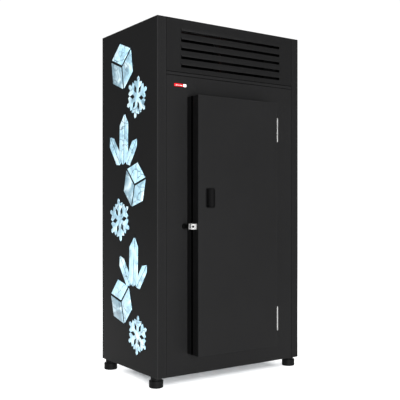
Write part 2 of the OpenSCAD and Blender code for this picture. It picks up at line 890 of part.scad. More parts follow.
// Drilled plate from its free edge, with round corners, to x1, with its face at y0
module lug_plate(out, x1, y0) {
    difference() {
        union() {
            upright(y0, y0 + lug_t)
                plate([door_x - out, lug_rect_z[0], x1, lug_rect_z[1]], lug_t);
            block([x1 - lug_t, y0, lug_rect_z[0]], [x1, y0 + lug_t, lug_rect_z[1]]);
        }
        rod_y([door_x - lock_x, y0 - cut, door_z + lug_z], lug_t + 2 * cut, lock_r);
    }
}

// Angle of the door's lug, with a round outer bend and a flange on the door's side
lug_flange = 14;
module door_lug() {
    y0 = leaf_front + lug_back;
    color(steel_bright) in_place() {
        lug_plate(lug_out, door_x - lug_fold, y0);
        block([door_x - lug_t, y0 + lug_fold, lug_rect_z[0]],
              [door_x, y0 + lug_flange, lug_rect_z[1]]);
        translate([door_x - lug_fold, y0 + lug_fold, lug_rect_z[0]])
            rotate(-90) linear_extrude(lug_h) intersection() {
                circle(r = lug_fold);
                square(lug_fold);
            }
    }
}

// Stepped lug on the casing's side. Its leg keeps clear of the door's edge, and its plate ends
// left of the line of sight through both holes.
lug_step = 15;
casing_flange = 28;
module casing_lug() {
    y0 = -casing_d - rear_lug_fwd;
    leg_x = door_x - lug_step;
    z = lug_rect_z;
    color(steel_bright) in_place() {
        lug_plate(rear_lug_out, leg_x, y0);
        block([leg_x - lug_t, y0, z[0]], [leg_x, -casing_d + lug_t, z[1]]);
        block([leg_x - lug_t, -casing_d, z[0]], [door_x, -casing_d + lug_t, z[1]]);
        block([door_x - lug_t, -casing_d, z[0]], [door_x, -casing_d + casing_flange, z[1]]);
    }
}

// Rubber stop with a sunk middle, on the front frame behind the lugs
module frame_stop() {
    color(plastic_black) in_place() translate([door_x - stop_gap - stop_r, 0, door_z + lug_z])
        rotate([90, 0, 0]) rotate_extrude() {
            square([stop_r * 0.42, stop_t * 0.45]);
            translate([stop_r * 0.4, 0]) square([stop_r * 0.6, stop_t - 2]);
            translate([stop_r * 0.55, 0]) square([stop_r * 0.32, stop_t]);
        }
}

// ---- Condensing unit -----------------------------------------------------

unit_size = [cab_w - unit_x - unit_right, unit_d, unit_h];
unit_base = [unit_x, unit_y, deck_h];
unit_top = deck_h + unit_size[2];
plate_t = 2;

// Tray-shaped base, open below, that carries the unit
module condensing_base() {
    inner = [plate_t, plate_t, -cut];
    color(galvanised) in_place() difference() {
        block(unit_base, unit_base + unit_size);
        block(unit_base + inner, unit_base + unit_size - [plate_t, plate_t, plate_t]);
    }
}

// Finned coil: fins on rows of tubes along X, and return bends. Its open ends are on the left,
// at the lowest and the highest row.
fin_t = 1.2;
bend_fn = 24;
module fin_coil(low, size, fins, rows, r) {
    step = size[2] / rows;
    mid_y = low[1] + size[1] / 2;
    for (i = [0 : fins - 1])
        translate([low[0] + i * (size[0] - fin_t) / (fins - 1), low[1], low[2]])
            cube([fin_t, size[1], size[2]]);
    for (j = [0 : rows - 1]) translate([low[0] - r, mid_y, low[2] + step * (j + 0.5)])
        rotate([0, 90, 0]) cylinder(h = size[0] + 2 * r, r = r, $fn = bend_fn);
    for (j = [0 : 2 : rows - 2]) translate([low[0] + size[0] + r, mid_y, low[2] + step * (j + 1)])
        rotate([90, 0, 0]) rotate(-90) rotate_extrude(angle = 180, $fn = bend_fn)
            translate([step / 2, 0]) circle(r = r, $fn = bend_fn);
    for (j = [1 : 2 : rows - 2]) translate([low[0] - r, mid_y, low[2] + step * (j + 1)])
        rotate([90, 0, 0]) rotate(90) rotate_extrude(angle = 180, $fn = bend_fn)
            translate([step / 2, 0]) circle(r = r, $fn = bend_fn);
}

coil_h = machine_h - unit_h - coil_head;
// Place of the coil on the unit's base
coil_in = [40, 20, 0];
coil_low = [unit_x, unit_y, unit_top] + coil_in;
module condenser_coil() {
    color(copper) in_place() fin_coil(coil_low, [coil_w, coil_d, coil_h], 24, 8, tube_r);
}

fan_at = [coil_low[0] + coil_w / 2, coil_low[1] + coil_d, unit_top + coil_h / 2];
shroud_d = 50;
fan_gap = 5;
fan_r = min(coil_w, coil_h) / 2 - fan_edge;
module condenser_shroud() {
    low = [coil_low[0], fan_at[1], unit_top];
    color(steel_dark) in_place() {
        difference() {
            block(low, low + [coil_w, shroud_d, coil_h]);
            block(low + [sheet_t, -cut, sheet_t],
                  low + [coil_w - sheet_t, shroud_d - sheet_t, coil_h - sheet_t]);
            rod_y(fan_at, shroud_d + cut, fan_r + fan_gap);
        }
        difference() {
            rod_y(fan_at + [0, shroud_d - sheet_t, 0], fan_ring + sheet_t, fan_r + fan_gap + sheet_t);
            rod_y(fan_at + [0, shroud_d - sheet_t - cut, 0], fan_ring + sheet_t + 2 * cut,
                  fan_r + fan_gap);
        }
    }
}

// Fan along +Z: a bored hub with pitched blades that widen to the tip
module fan(tip_r, hub_r, hub_h, blades, bore_r, chord, pitch) {
    difference() {
        union() {
            cylinder(h = hub_h, r = hub_r);
            for (i = [0 : blades - 1]) rotate(i * 360 / blades) intersection() {
                translate([0, 0, hub_h / 2]) rotate([pitch, 0, 0]) translate([0, 0, -blade_t / 2])
                    linear_extrude(blade_t) polygon([[hub_r * 0.6, -chord * 0.22],
                        [tip_r * 0.75, -chord * 0.5], [tip_r + chord, -chord * 0.36],
                        [tip_r + chord, chord * 0.5], [hub_r * 0.6, chord * 0.22]]);
                cylinder(h = 4 * hub_h, r = tip_r, center = true);
            }
        }
        translate([0, 0, -cut]) cylinder(h = hub_h + 2 * cut, r = bore_r);
    }
}

blade_t = 2;
fan_ring = 18;
hub_h = 26;
motor_shaft_r = 4;
fan_hub_y = fan_at[1] + shroud_d - 10;
motor_y = fan_hub_y + hub_h + 8;
motor_r = 40;
motor_l = 62;
module condenser_fan() {
    color(steel_bright) in_place() translate([fan_at[0], fan_hub_y, fan_at[2]]) rotate([-90, 0, 0])
        fan(fan_r, 24, hub_h, 5, motor_shaft_r + pin_gap, 62, 28);
}

module condenser_fan_motor() {
    color(galvanised) in_place() {
        rod_y([fan_at[0], motor_y, fan_at[2]], motor_l, motor_r);
        rod_y([fan_at[0], fan_hub_y - 4, fan_at[2]], motor_y - fan_hub_y + 5, motor_shaft_r);
    }
}

bracket_w = 60;
module motor_bracket() {
    y = motor_y + motor_l;
    color(galvanised) in_place() {
        block([fan_at[0] - bracket_w / 2, y, unit_top],
              [fan_at[0] + bracket_w / 2, y + plate_t, fan_at[2]]);
        block([fan_at[0] - bracket_w / 2, y, unit_top],
              [fan_at[0] + bracket_w / 2, y + 40, unit_top + plate_t]);
        rod_y([fan_at[0], y, fan_at[2]], plate_t, bracket_w / 2);
    }
}

// Distance of the compressor's axis from the base's right end and from its back
comp_in = 125;
comp_back = 185;
comp_at = unit_base + unit_size - [comp_in, comp_back, 0];
mount_h = 16;
mount_r = 13;
mount_out = 72;
comp_plate = 3;
comp_corner = 30;
comp_z = mount_h + comp_plate + 4;
// Stub on the shell's back that takes the suction line
stub_z = comp_z + comp_h * 0.38;
stub_out = 14;
stub_r = tube_r + 2;
module compressor_mounts() {
    color(plastic_black) in_place() for (x = [-1, 1], y = [-1, 1])
        translate(comp_at + mount_out * [x, y, 0]) {
            cylinder(h = mount_h, r = mount_r);
            cylinder(h = mount_h + comp_plate + 6, r = 5);
        }
}

// Hermetic shell with a welded waist on a four-cornered base plate
module compressor() {
    side = mount_out + mount_r;
    color(plastic_black) in_place() translate(comp_at) {
        translate([0, 0, mount_h]) linear_extrude(comp_plate) difference() {
            plate([-side, -side, side, side], mount_r);
            for (x = [-1, 1], y = [-1, 1]) translate(mount_out * [x, y]) circle(r = 5 + clear);
        }
        translate([0, 0, comp_z]) rotate_extrude() {
            square([comp_r, comp_h - comp_corner]);
            square([comp_r - comp_corner, comp_h]);
            intersection() {
                translate([comp_r - comp_corner, comp_h - comp_corner]) circle(r = comp_corner);
                square([comp_r, comp_h]);
            }
            translate([0, comp_h * 0.55]) square([comp_r + 3, 6]);
        }
        translate([0, 0, mount_h]) cylinder(h = comp_z - mount_h + 1, r = comp_r - 20);
        translate([0, 0, stub_z]) rotate([-90, 0, 0]) cylinder(h = comp_r + stub_out, r = stub_r);
    }
}

module terminal_cover() {
    low = comp_at + [comp_r - 14, -32, comp_z + 15];
    color(plastic_black) in_place() difference() {
        block(low, low + [48, 64, 70]);
        translate(comp_at) cylinder(h = comp_z + comp_h, r = comp_r + clear);
    }
}

// ---- Refrigerant lines ---------------------------------------------------

// A tube through a list of points, with a brazed fitting at each bend
joint_out = 0.8;
module pipe(points, r) {
    for (i = [0 : len(points) - 2]) {
        step = points[i + 1] - points[i];
        length = norm(step);
        translate(points[i]) rotate([0, acos(step[2] / length), atan2(step[1], step[0])])
            cylinder(h = length, r = r, $fn = bend_fn);
    }
    for (i = [1 : 1 : len(points) - 2]) translate(points[i]) sphere(r = r + joint_out, $fn = bend_fn);
}

// Room between the coil and the drier's axis, and the drier's height over the base
drier_side = 34;
drier_up = 40;
drier_at = [coil_low[0] + coil_w + drier_side, unit_y + 8, unit_top + drier_up];
drier_r = 13;
drier_h = 110;
module filter_drier() {
    cone = 14;
    color(copper) in_place() translate(drier_at) {
        translate([0, 0, cone]) cylinder(h = drier_h - 2 * cone, r = drier_r);
        translate([0, 0, drier_h - cone]) cylinder(h = cone, r1 = drier_r, r2 = tube_r);
        cylinder(h = cone, r1 = tube_r, r2 = drier_r);
    }
}

tube_y = coil_low[1] + coil_d / 2;
coil_step = coil_h / 8;
coil_end = coil_low[0] - tube_r;
// How far the lines run out of the coil before they turn
coil_turn = 22;
coil_in_z = unit_top + coil_h - coil_step / 2;
coil_out_z = unit_top + coil_step / 2;
shell_top = comp_at[2] + comp_z + comp_h;
line_z = unit_top + coil_h + 22;

// Hot gas from the compressor to the coil's upper end
module discharge_line() {
    rise = comp_at + [-comp_r * 0.35, -comp_r * 0.3, 0];
    color(copper) in_place() pipe([
        [rise[0], rise[1], shell_top], [rise[0], rise[1], line_z],
        [rise[0], tube_y, line_z], [coil_end - coil_turn, tube_y, line_z],
        [coil_end - coil_turn, tube_y, coil_in_z], [coil_end, tube_y, coil_in_z]], tube_r);
}

// Distance of the evaporator's coil from its housing's sides, with room for the return bends
evap_side = 28;
// Free space behind the evaporator's housing for the air that returns
evap_back = 30;
evap_low = [(cab_w - evap_w) / 2, cav_high[1] - evap_back - evap_d, cav_high[2] - evap_h];
evap_high = evap_low + [evap_w, evap_d, evap_h];
// Depth of the evaporator's coil, and its distance from the housing's floor and open back
evap_coil_d = 80;
evap_coil_in = 20;
evap_coil_head = 12;
evap_coil = [evap_w - 2 * evap_side, evap_coil_d, evap_h - evap_coil_in - evap_coil_head];
evap_coil_low = [evap_low[0] + evap_side, evap_high[1] - evap_coil_in - evap_coil_d,
                 evap_low[2] + evap_coil_in];
evap_tube_y = evap_coil_low[1] + evap_coil[1] / 2;
evap_rows = 4;
evap_step = evap_coil[2] / evap_rows;
evap_end = evap_coil_low[0] + evap_coil[0] + tube_r;
evap_ins = [evap_coil_low[2] + evap_step / 2, evap_coil_low[2] + evap_coil[2] - evap_step / 2];
// Hole for the refrigerant lines through the ceiling, beside the evaporator's housing
pass_gap = 50;
pass_x = evap_high[0] + pass_gap;
pass_y = evap_tube_y;
pass_r = 22;
// Distance of each line from the middle of its hole through the ceiling
line_side = 9;

// From the coil's lower end round its front to the drier, and from there to the evaporator
module liquid_line() {
    x = pass_x - line_side;
    turn = coil_end - coil_turn;
    over = line_z + 14;
    color(copper) in_place() {
        pipe([[coil_end, tube_y, coil_out_z], [turn, tube_y, coil_out_z],
              [turn, drier_at[1], coil_out_z], [drier_at[0], drier_at[1], coil_out_z],
              drier_at], tube_r);
        pipe([drier_at + [0, 0, drier_h], [drier_at[0], drier_at[1], over],
              [x, drier_at[1], over], [x, pass_y, over],
              [x, pass_y, evap_ins[1]], [evap_end, pass_y, evap_ins[1]]], tube_r);
    }
}

// From the evaporator up to the stub on the compressor's back
suction_out = 34;
module suction_line() {
    x = pass_x + line_side;
    enter = comp_at + [0, comp_r + stub_out, stub_z];
    back = enter + [0, suction_out, 0];
    color(copper) in_place() pipe([
        [evap_end, pass_y, evap_ins[0]], [x, pass_y, evap_ins[0]], [x, pass_y, enter[2]],
        [x, back[1], enter[2]], back, enter], tube_r);
}

// ---- Controls ------------------------------------------------------------

box_size = [130, 95, 190];
// Distance of the control box from the inner face of the wall and from the front
box_side = 35;
box_front = 52;
box_low = [cab_w - wall_t - box_side - box_size[0], box_front, deck_h];
knob_up = 130;
knob_at = box_low + [box_size[0] / 2, 0, knob_up];
knob_r = 21;
knob_h = 16;
spindle_r = 3;
spindle_len = 14;
module control_box() {
    color(steel_dark) in_place() difference() {
        union() {
            block(box_low, box_low + box_size);
            block(box_low - [14, 0, 0], box_low + [box_size[0] + 14, box_size[1], plate_t]);
        }
        rod_y(knob_at - [0, cut, 0], spindle_len + 2 * cut, spindle_r + pin_gap);
    }
}

// Knob with a pointer ridge and finger flutes, on its spindle
module thermostat_knob() {
    color(plastic_black) in_place() translate(knob_at) rotate([90, 0, 0]) {
        difference() {
            translate([0, 0, run]) cylinder(h = knob_h - run, r = knob_r);
            for (i = [0 : 11]) rotate(i * 30 + 15) translate([knob_r + 2.2, 0, 3])
                cylinder(h = knob_h, r = 4);
        }
        translate([-1.5, 4, knob_h - 1]) cube([3, knob_r - 6, 2.2]);
        translate([0, 0, -spindle_len]) cylinder(h = spindle_len + run + 1, r = spindle_r);
    }
}

gland_side = 65;
gland_up = 70;
gland_x = cab_w - wall_t - gland_side;
gland_z = deck_h + gland_up;
gland_r = 9;
gland_flat = 24;
// Screwed gland for the supply cord: hexagon, domed nose, thread and lock nut
module cable_gland() {
    y = back_in + sheet_t;
    color(plastic_black) in_place() translate([gland_x, y, gland_z]) rotate([-90, 0, 0]) difference() {
        union() {
            cylinder(h = 6, d = gland_flat / cos(30), $fn = 6);
            cylinder(h = 14, r1 = gland_r + 2, r2 = gland_r - 1);
            translate([0, 0, -14]) cylinder(h = 15, r = gland_r);
            translate([0, 0, -sheet_t - 5]) cylinder(h = 5, d = gland_flat / cos(30), $fn = 6);
        }
        translate([0, 0, -14 - cut]) cylinder(h = 28 + 2 * cut, r = cord_r);
    }
}

// ---- Evaporator ----------------------------------------------------------

evap_fan_x = [evap_low[0] + evap_w * 0.26, evap_low[0] + evap_w * 0.74];
evap_fan_z = evap_low[2] + evap_h / 2;
evap_front = evap_low[1];
tray_lip = sheet_t + 2 * drain_r + 4;
drain_side = 90;
drain_x = evap_high[0] - drain_side;
drain_z = evap_low[2] + sheet_t + drain_r + 1;
// Housing, open above and behind, with a lip that keeps the melt water in its floor
module evaporator_housing() {
    color(liner_white) in_place() difference() {
        block(evap_low, evap_high);
        block(evap_low + [sheet_t, sheet_t, sheet_t], evap_high - [sheet_t, sheet_t, -cut]);
        block(evap_low + [sheet_t, evap_d / 2, tray_lip], evap_high + [-sheet_t, cut, cut]);
        for (x = evap_fan_x) rod_y([x, evap_front - cut, evap_fan_z], 2 * cut + sheet_t, evap_fan_r + 4);
        for (z = evap_ins) translate([evap_high[0] - sheet_t - cut, evap_tube_y, z])
            rotate([0, 90, 0]) cylinder(h = sheet_t + 2 * cut, r = tube_r + clear, $fn = bend_fn);
        rod_y([drain_x, evap_high[1] - sheet_t - cut, drain_z], sheet_t + 2 * cut, drain_r + clear);
    }
}

// The same kind of coil, turned round so that its open ends are on the right
module evaporator_coil() {
    color(galvanised) in_place() translate([evap_low[0] + evap_high[0], 0, 0]) mirror([1, 0, 0])
        fin_coil(evap_coil_low, evap_coil, 26, evap_rows, tube_r);
}

evap_hub_h = 18;
evap_hub_y = evap_front + 10;
evap_motor_y = evap_hub_y + evap_hub_h + 5;
evap_motor_l = 40;
evap_motor_r = 24;
evap_shaft_r = 3;
strap_w = 22;
module evaporator_fan_motors() {
    color(plastic_black) in_place() for (x = evap_fan_x) {
        rod_y([x, evap_motor_y, evap_fan_z], evap_motor_l, evap_motor_r);
        rod_y([x, evap_hub_y - 2, evap_fan_z], evap_motor_y - evap_hub_y + 3, evap_shaft_r);
        block([x - strap_w / 2, evap_motor_y + evap_motor_l - plate_t, evap_low[2] + sheet_t],
              [x + strap_w / 2, evap_motor_y + evap_motor_l, evap_high[2]]);
    }
}

module evaporator_fan(x) {
    color(plastic_black) in_place() translate([x, evap_hub_y, evap_fan_z]) rotate([-90, 0, 0])
        fan(evap_fan_r, 14, evap_hub_h, 5, evap_shaft_r + pin_gap, 38, 28);
}

module evaporator_fan_left() evaporator_fan(evap_fan_x[0]);
module evaporator_fan_right() evaporator_fan(evap_fan_x[1]);

wire_t = 2.4;
guard_rings = 4;
// Wire guards: rings on crossed spokes, one in front of each fan
module fan_guards() {
    guard_r = evap_fan_r + 8;
    color(steel_bright) in_place() for (x = evap_fan_x)
        translate([x, evap_front, evap_fan_z]) rotate([90, 0, 0]) linear_extrude(wire_t) {
            for (i = [1 : guard_rings]) difference() {
                circle(r = guard_r * i / guard_rings);
                circle(r = guard_r * i / guard_rings - wire_t);
            }
            for (turn = [45, 135]) rotate(turn)
                square([2 * guard_r - wire_t, wire_t], center = true);
        }
}

// Drain from the evaporator's floor through the back, with a collar on the back panel
drain_wall = 2.5;
collar_out = 7;
collar_t = 3;
module drain_tube() {
    y0 = evap_high[1] - 12;
    length = cab_d + drain_out - y0;
    color(plastic_black) in_place() difference() {
        union() {
            rod_y([drain_x, y0, drain_z], length, drain_r);
            rod_y([drain_x, back_in + sheet_t, drain_z], collar_t, drain_r + collar_out);
        }
        rod_y([drain_x, y0 - cut, drain_z], length + 2 * cut, drain_r - drain_wall);
    }
}

left_side_panel();
right_side_panel();
back_panel();
rear_vent_panel();
top_panel();
base_pan();
foot_nuts();
front_frame();
header_rail();
louver_panel();
machine_deck();
foam_core();
inner_liner();
throat_breaker();
door_casing();
panel_screws();
foot_front_left();
foot_front_right();
foot_rear_left();
foot_rear_right();
upper_hinge_bracket();
lower_hinge_bracket();
hinge_pins();
casing_lug();
frame_stop();
door_outer_pan();
door_edge_frame();
door_foam();
door_inner_panel();
door_gasket();
pull_cup();
door_lug();
upper_door_leaf();
lower_door_leaf();
door_leaf_screws();
condensing_base();
compressor();
compressor_mounts();
terminal_cover();
condenser_coil();
condenser_shroud();
condenser_fan();
condenser_fan_motor();
motor_bracket();
filter_drier();
discharge_line();
liquid_line();
suction_line();
control_box();
thermostat_knob();
cable_gland();
evaporator_housing();
evaporator_coil();
evaporator_fan_motors();
evaporator_fan_left();
evaporator_fan_right();
fan_guards();
drain_tube();
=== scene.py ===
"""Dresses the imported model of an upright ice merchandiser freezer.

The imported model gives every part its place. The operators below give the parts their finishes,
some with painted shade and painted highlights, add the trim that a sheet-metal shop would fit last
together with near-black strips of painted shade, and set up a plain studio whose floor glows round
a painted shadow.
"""

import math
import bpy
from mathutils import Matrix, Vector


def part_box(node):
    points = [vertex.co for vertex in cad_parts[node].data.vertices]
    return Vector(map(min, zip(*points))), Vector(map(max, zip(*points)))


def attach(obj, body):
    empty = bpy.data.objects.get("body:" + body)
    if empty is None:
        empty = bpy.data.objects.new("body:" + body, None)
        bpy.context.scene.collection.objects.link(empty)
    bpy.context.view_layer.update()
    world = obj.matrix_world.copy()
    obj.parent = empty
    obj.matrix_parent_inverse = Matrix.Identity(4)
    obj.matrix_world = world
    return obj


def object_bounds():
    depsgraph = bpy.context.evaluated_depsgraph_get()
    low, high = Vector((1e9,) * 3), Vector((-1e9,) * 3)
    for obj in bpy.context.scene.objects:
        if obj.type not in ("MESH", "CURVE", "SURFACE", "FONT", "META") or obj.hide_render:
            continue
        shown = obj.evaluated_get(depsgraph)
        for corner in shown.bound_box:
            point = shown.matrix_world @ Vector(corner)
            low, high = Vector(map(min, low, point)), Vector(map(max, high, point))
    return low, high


bl_info = {
    "name": "Ice Merchandiser Freezer",
    "version": (1, 0, 0),
    "blender": (4, 5, 0),
    "location": "View3D > Sidebar > Freezer",
    "description": "Finishes and trim for an upright ice freezer, with a plain studio",
    "category": "Object",
}

import bmesh
import bpy
from bpy.props import FloatProperty, FloatVectorProperty, PointerProperty
from mathutils import Vector

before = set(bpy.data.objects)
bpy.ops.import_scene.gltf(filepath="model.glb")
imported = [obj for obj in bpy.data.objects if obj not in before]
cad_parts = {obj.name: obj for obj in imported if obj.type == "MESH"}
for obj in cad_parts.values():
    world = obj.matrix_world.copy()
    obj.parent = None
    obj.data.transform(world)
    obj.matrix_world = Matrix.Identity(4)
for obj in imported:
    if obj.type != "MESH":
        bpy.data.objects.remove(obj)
CAD_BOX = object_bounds()
# Faces that meet at less than this are shaded as one smooth surface
SMOOTH_ANGLE = math.radians(32)
# Only the corners of sheet that are sharper than this are rounded
FOLD_ANGLE = math.radians(40)

# ---- Settings ----------------------------------------------------------------


def colour(name, text, rgb):
    return FloatVectorProperty(name=name, description=text, subtype="COLOR", size=3,
                               min=0, max=1, default=rgb)


def length(name, text, metres):
    return FloatProperty(name=name, description=text, unit="LENGTH", default=metres)


class FreezerColours(bpy.types.PropertyGroup):
    paint: colour("Powder coat", "Colour of the painted sheets", (0.0092, 0.0092, 0.0094))
    plastic: colour("Moulded plastic", "Colour of casing, edge profile and cup",
                    (0.0022, 0.0022, 0.0023))
    rubber: colour("Rubber", "Colour of gasket, stop and mounts", (0.0015, 0.0015, 0.0015))
    liner: colour("Liner", "Colour of the coated inner sheets", (0.74, 0.77, 0.78))
    steel: colour("Stainless steel", "Colour of hinges and lugs", (0.56, 0.56, 0.555))
    zinc: colour("Galvanised sheet", "Colour of rear and hidden sheets", (0.48, 0.5, 0.52))
    ice: colour("Ice", "Light colour of the ice figures", (0.37, 0.62, 0.76))
    ice_shade: colour("Ice shade", "Colour of the cracks in the ice figures",
                      (0.05, 0.10, 0.15))
    badge: colour("Badge", "Colour of the plain enamel plate", (0.55, 0.012, 0.016))


class FreezerSizes(bpy.types.PropertyGroup):
    soft_edge: length("Soft edge", "Radius on the edges of folded sheet", 0.0009)
    figure_relief: length("Figure relief", "How far the ice figures stand out", 0.0035)
    badge_width: length("Badge width", "Width of the enamel plate", 0.076)
    badge_height: length("Badge height", "Height of the enamel plate", 0.0155)
    # The casing strip and the gasket lip below are near-black painted shade in the groove round
    # the door
    shade_strip_thick: length("Trim thickness", "Thickness of the casing's edge trim", 0.0004)
    shade_strip_width: length("Trim width", "Width of the edge trim on the casing's front", 0.0078)
    shade_strip_depth: length("Trim depth", "Width of the edge trim on the casing's sides", 0.0075)
    shade_lip_depth: length("Lip depth", "Depth of the gasket's lip", 0.003)
    shade_lip_width: length("Lip width", "Width of the gasket's lip", 0.005)
    lock_from_door: length("Lock hole offset", "From the lug's fold to the padlock hole", 0.025)
    lock_radius: length("Lock hole radius", "Radius of the padlock hole", 0.005)
    # The flange and wall of the near-black bushing, painted shade in the padlock hole
    flange_radius: length("Flange radius", "Radius of the bushing's flange", 0.0066)
    bushing_wall: length("Bushing wall", "Thickness of the bushing in the padlock hole", 0.0006)
    lug_thick: length("Lug thickness", "Thickness of the lug that the bushing lines", 0.003)
    # How far the near-black strips of painted shade lie back in the seams
    shade_strip_set_back: length("Seal depth", "How far the black tape lies back in a seam", 0.0006)


class FreezerStudio(bpy.types.PropertyGroup):
    floor: colour("Floor", "Colour of the studio floor", (0.97, 0.97, 0.97))
    ambient: FloatProperty(name="Ambient", description="Light that the white room gives", min=0,
                           default=0.40)
    # Painted light and shadow on the floor: the floor glows, less at the object than away from it
    glow: FloatProperty(name="Floor glow", description="Light of the floor at the object",
                        min=0, default=0.0)
    far_glow: FloatProperty(name="Far glow", description="Light of the floor away from it",
                            min=0, default=0.70)
    front_inset: length("Front inset", "How far the shadow stays behind the door", 0.125)
    side_inset: length("Side inset", "How far the shadow stays inside the sides", 0.03)
    shadow_reach: length("Shadow reach", "From the full glow inward to the darkest floor", 0.10)
    front: FloatProperty(name="Front", description="Strength of the soft light in front",
                         min=0, default=330)
    overhead: FloatProperty(name="Overhead", description="Strength of the soft light above",
                            min=0, default=230)


# ---- Meshes ------------------------------------------------------------------


def finish_piece(bm, name, material, body):
    """Closes a bmesh into an object at the origin that rides on a body."""
    bmesh.ops.remove_doubles(bm, verts=bm.verts, dist=1e-6)
    bmesh.ops.recalc_face_normals(bm, faces=bm.faces)
    mesh = bpy.data.meshes.new(name)
    bm.to_mesh(mesh)
    bm.free()
    piece = bpy.data.objects.new(name, mesh)
    bpy.context.scene.collection.objects.link(piece)
    mesh.materials.append(material)
    mesh.shade_smooth()
    mesh.set_sharp_from_angle(angle=SMOOTH_ANGLE)
    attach(piece, body)


def polygon(bm, points):
    """A flat face through a few points."""
    return bm.faces.new([bm.verts.new(p) for p in points])


def thicken(bm, face, by, edge=0.0):
    """Extrudes a face by a vector and rounds the edges of its far side."""
    made = bmesh.ops.extrude_face_region(bm, geom=[face], use_keep_orig=True)
    moved = [g for g in made["geom"] if isinstance(g, bmesh.types.BMVert)]
    bmesh.ops.translate(bm, verts=moved, vec=by)
    if edge > 0:
        far = set(moved)
        rim = [e for e in bm.edges if e.verts[0] in far and e.verts[1] in far]
        bmesh.ops.bevel(bm, geom=rim, offset=edge, segments=3, profile=0.5, affect="EDGES",
                        material=-1)


# ---- Shader building ---------------------------------------------------------


def add(tree, kind, at, inputs=None, **settings):
    """A shader node with its place, its settings and the values of its sockets."""
    made = tree.nodes.new(kind)
    made.location = at
    for key, value in settings.items():
        setattr(made, key, value)
    for key, value in (inputs or {}).items():
        made.inputs[key].default_value = value
    return made


def ramp(tree, at, stops):
    """A colour ramp from a list of (place, grey or colour)."""
    made = add(tree, "ShaderNodeValToRGB", at)
    line = made.color_ramp
    while len(line.elements) < len(stops):
        line.elements.new(0.5)
    for element, (place, value) in zip(line.elements, stops):
        element.position = place
        rgb = (value, value, value) if isinstance(value, (int, float)) else value
        element.color = (*rgb, 1)
    return made


def new_group(name, inputs, outputs):
    """An empty shader group with its sockets, and its two end nodes."""
    group = bpy.data.node_groups.new(name, "ShaderNodeTree")
    for label, kind, default in inputs:
        socket = group.interface.new_socket(name=label, in_out="INPUT", socket_type=kind)
        socket.default_value = default
    for label, kind in outputs:
        group.interface.new_socket(name=label, in_out="OUTPUT", socket_type=kind)
    return (group, add(group, "NodeGroupInput", (-900, 0)),
            add(group, "NodeGroupOutput", (600, 0)))


def surface_grain_group():
    """Fine grain of a coated or moulded surface, as a normal."""
    group, start, end = new_group(
        "Surface Grain",
        [("Grain per metre", "NodeSocketFloat", 900.0), ("Depth", "NodeSocketFloat", 0.2)],
        [("Normal", "NodeSocketVector")])
    place = add(group, "ShaderNodeTexCoord", (-900, 200))
    noise = add(group, "ShaderNodeTexNoise", (-500, 100), {"Detail": 2.5, "Roughness": 0.55})
    bump = add(group, "ShaderNodeBump", (200, 0), {"Distance": 0.0002})
    link = group.links.new
    link(place.outputs["Object"], noise.inputs["Vector"])
    link(start.outputs["Grain per metre"], noise.inputs["Scale"])
    link(noise.outputs["Fac"], bump.inputs["Height"])
    link(start.outputs["Depth"], bump.inputs["Strength"])
    link(bump.outputs["Normal"], end.inputs["Normal"])
    return group


def handling_group():
    """Faint clouds and wiped streaks, as a mask around one half."""
    group, start, end = new_group(
        "Handling Marks",
        [("Cloud per metre", "NodeSocketFloat", 3.0), ("Streaks", "NodeSocketFloat", 0.4)],
        [("Mask", "NodeSocketFloat")])
    place = add(group, "ShaderNodeTexCoord", (-900, 200))
    cloud = add(group, "ShaderNodeTexNoise", (-500, 200), {"Detail": 5.0, "Roughness": 0.6})
    squeeze = add(group, "ShaderNodeMapping", (-700, -150), {"Scale": (60, 60, 2.5)})
    streak = add(group, "ShaderNodeTexNoise", (-500, -150), {"Scale": 1.0, "Detail": 3.0})
    mix = add(group, "ShaderNodeMix", (100, 0), data_type="FLOAT")
    link = group.links.new
    link(place.outputs["Object"], cloud.inputs["Vector"])
    link(start.outputs["Cloud per metre"], cloud.inputs["Scale"])
    link(place.outputs["Object"], squeeze.inputs["Vector"])
    link(squeeze.outputs["Vector"], streak.inputs["Vector"])
    link(start.outputs["Streaks"], mix.inputs["Factor"])
    link(cloud.outputs["Fac"], mix.inputs["A"])
    link(streak.outputs["Fac"], mix.inputs["B"])
    link(mix.outputs["Result"], end.inputs["Mask"])
    return group


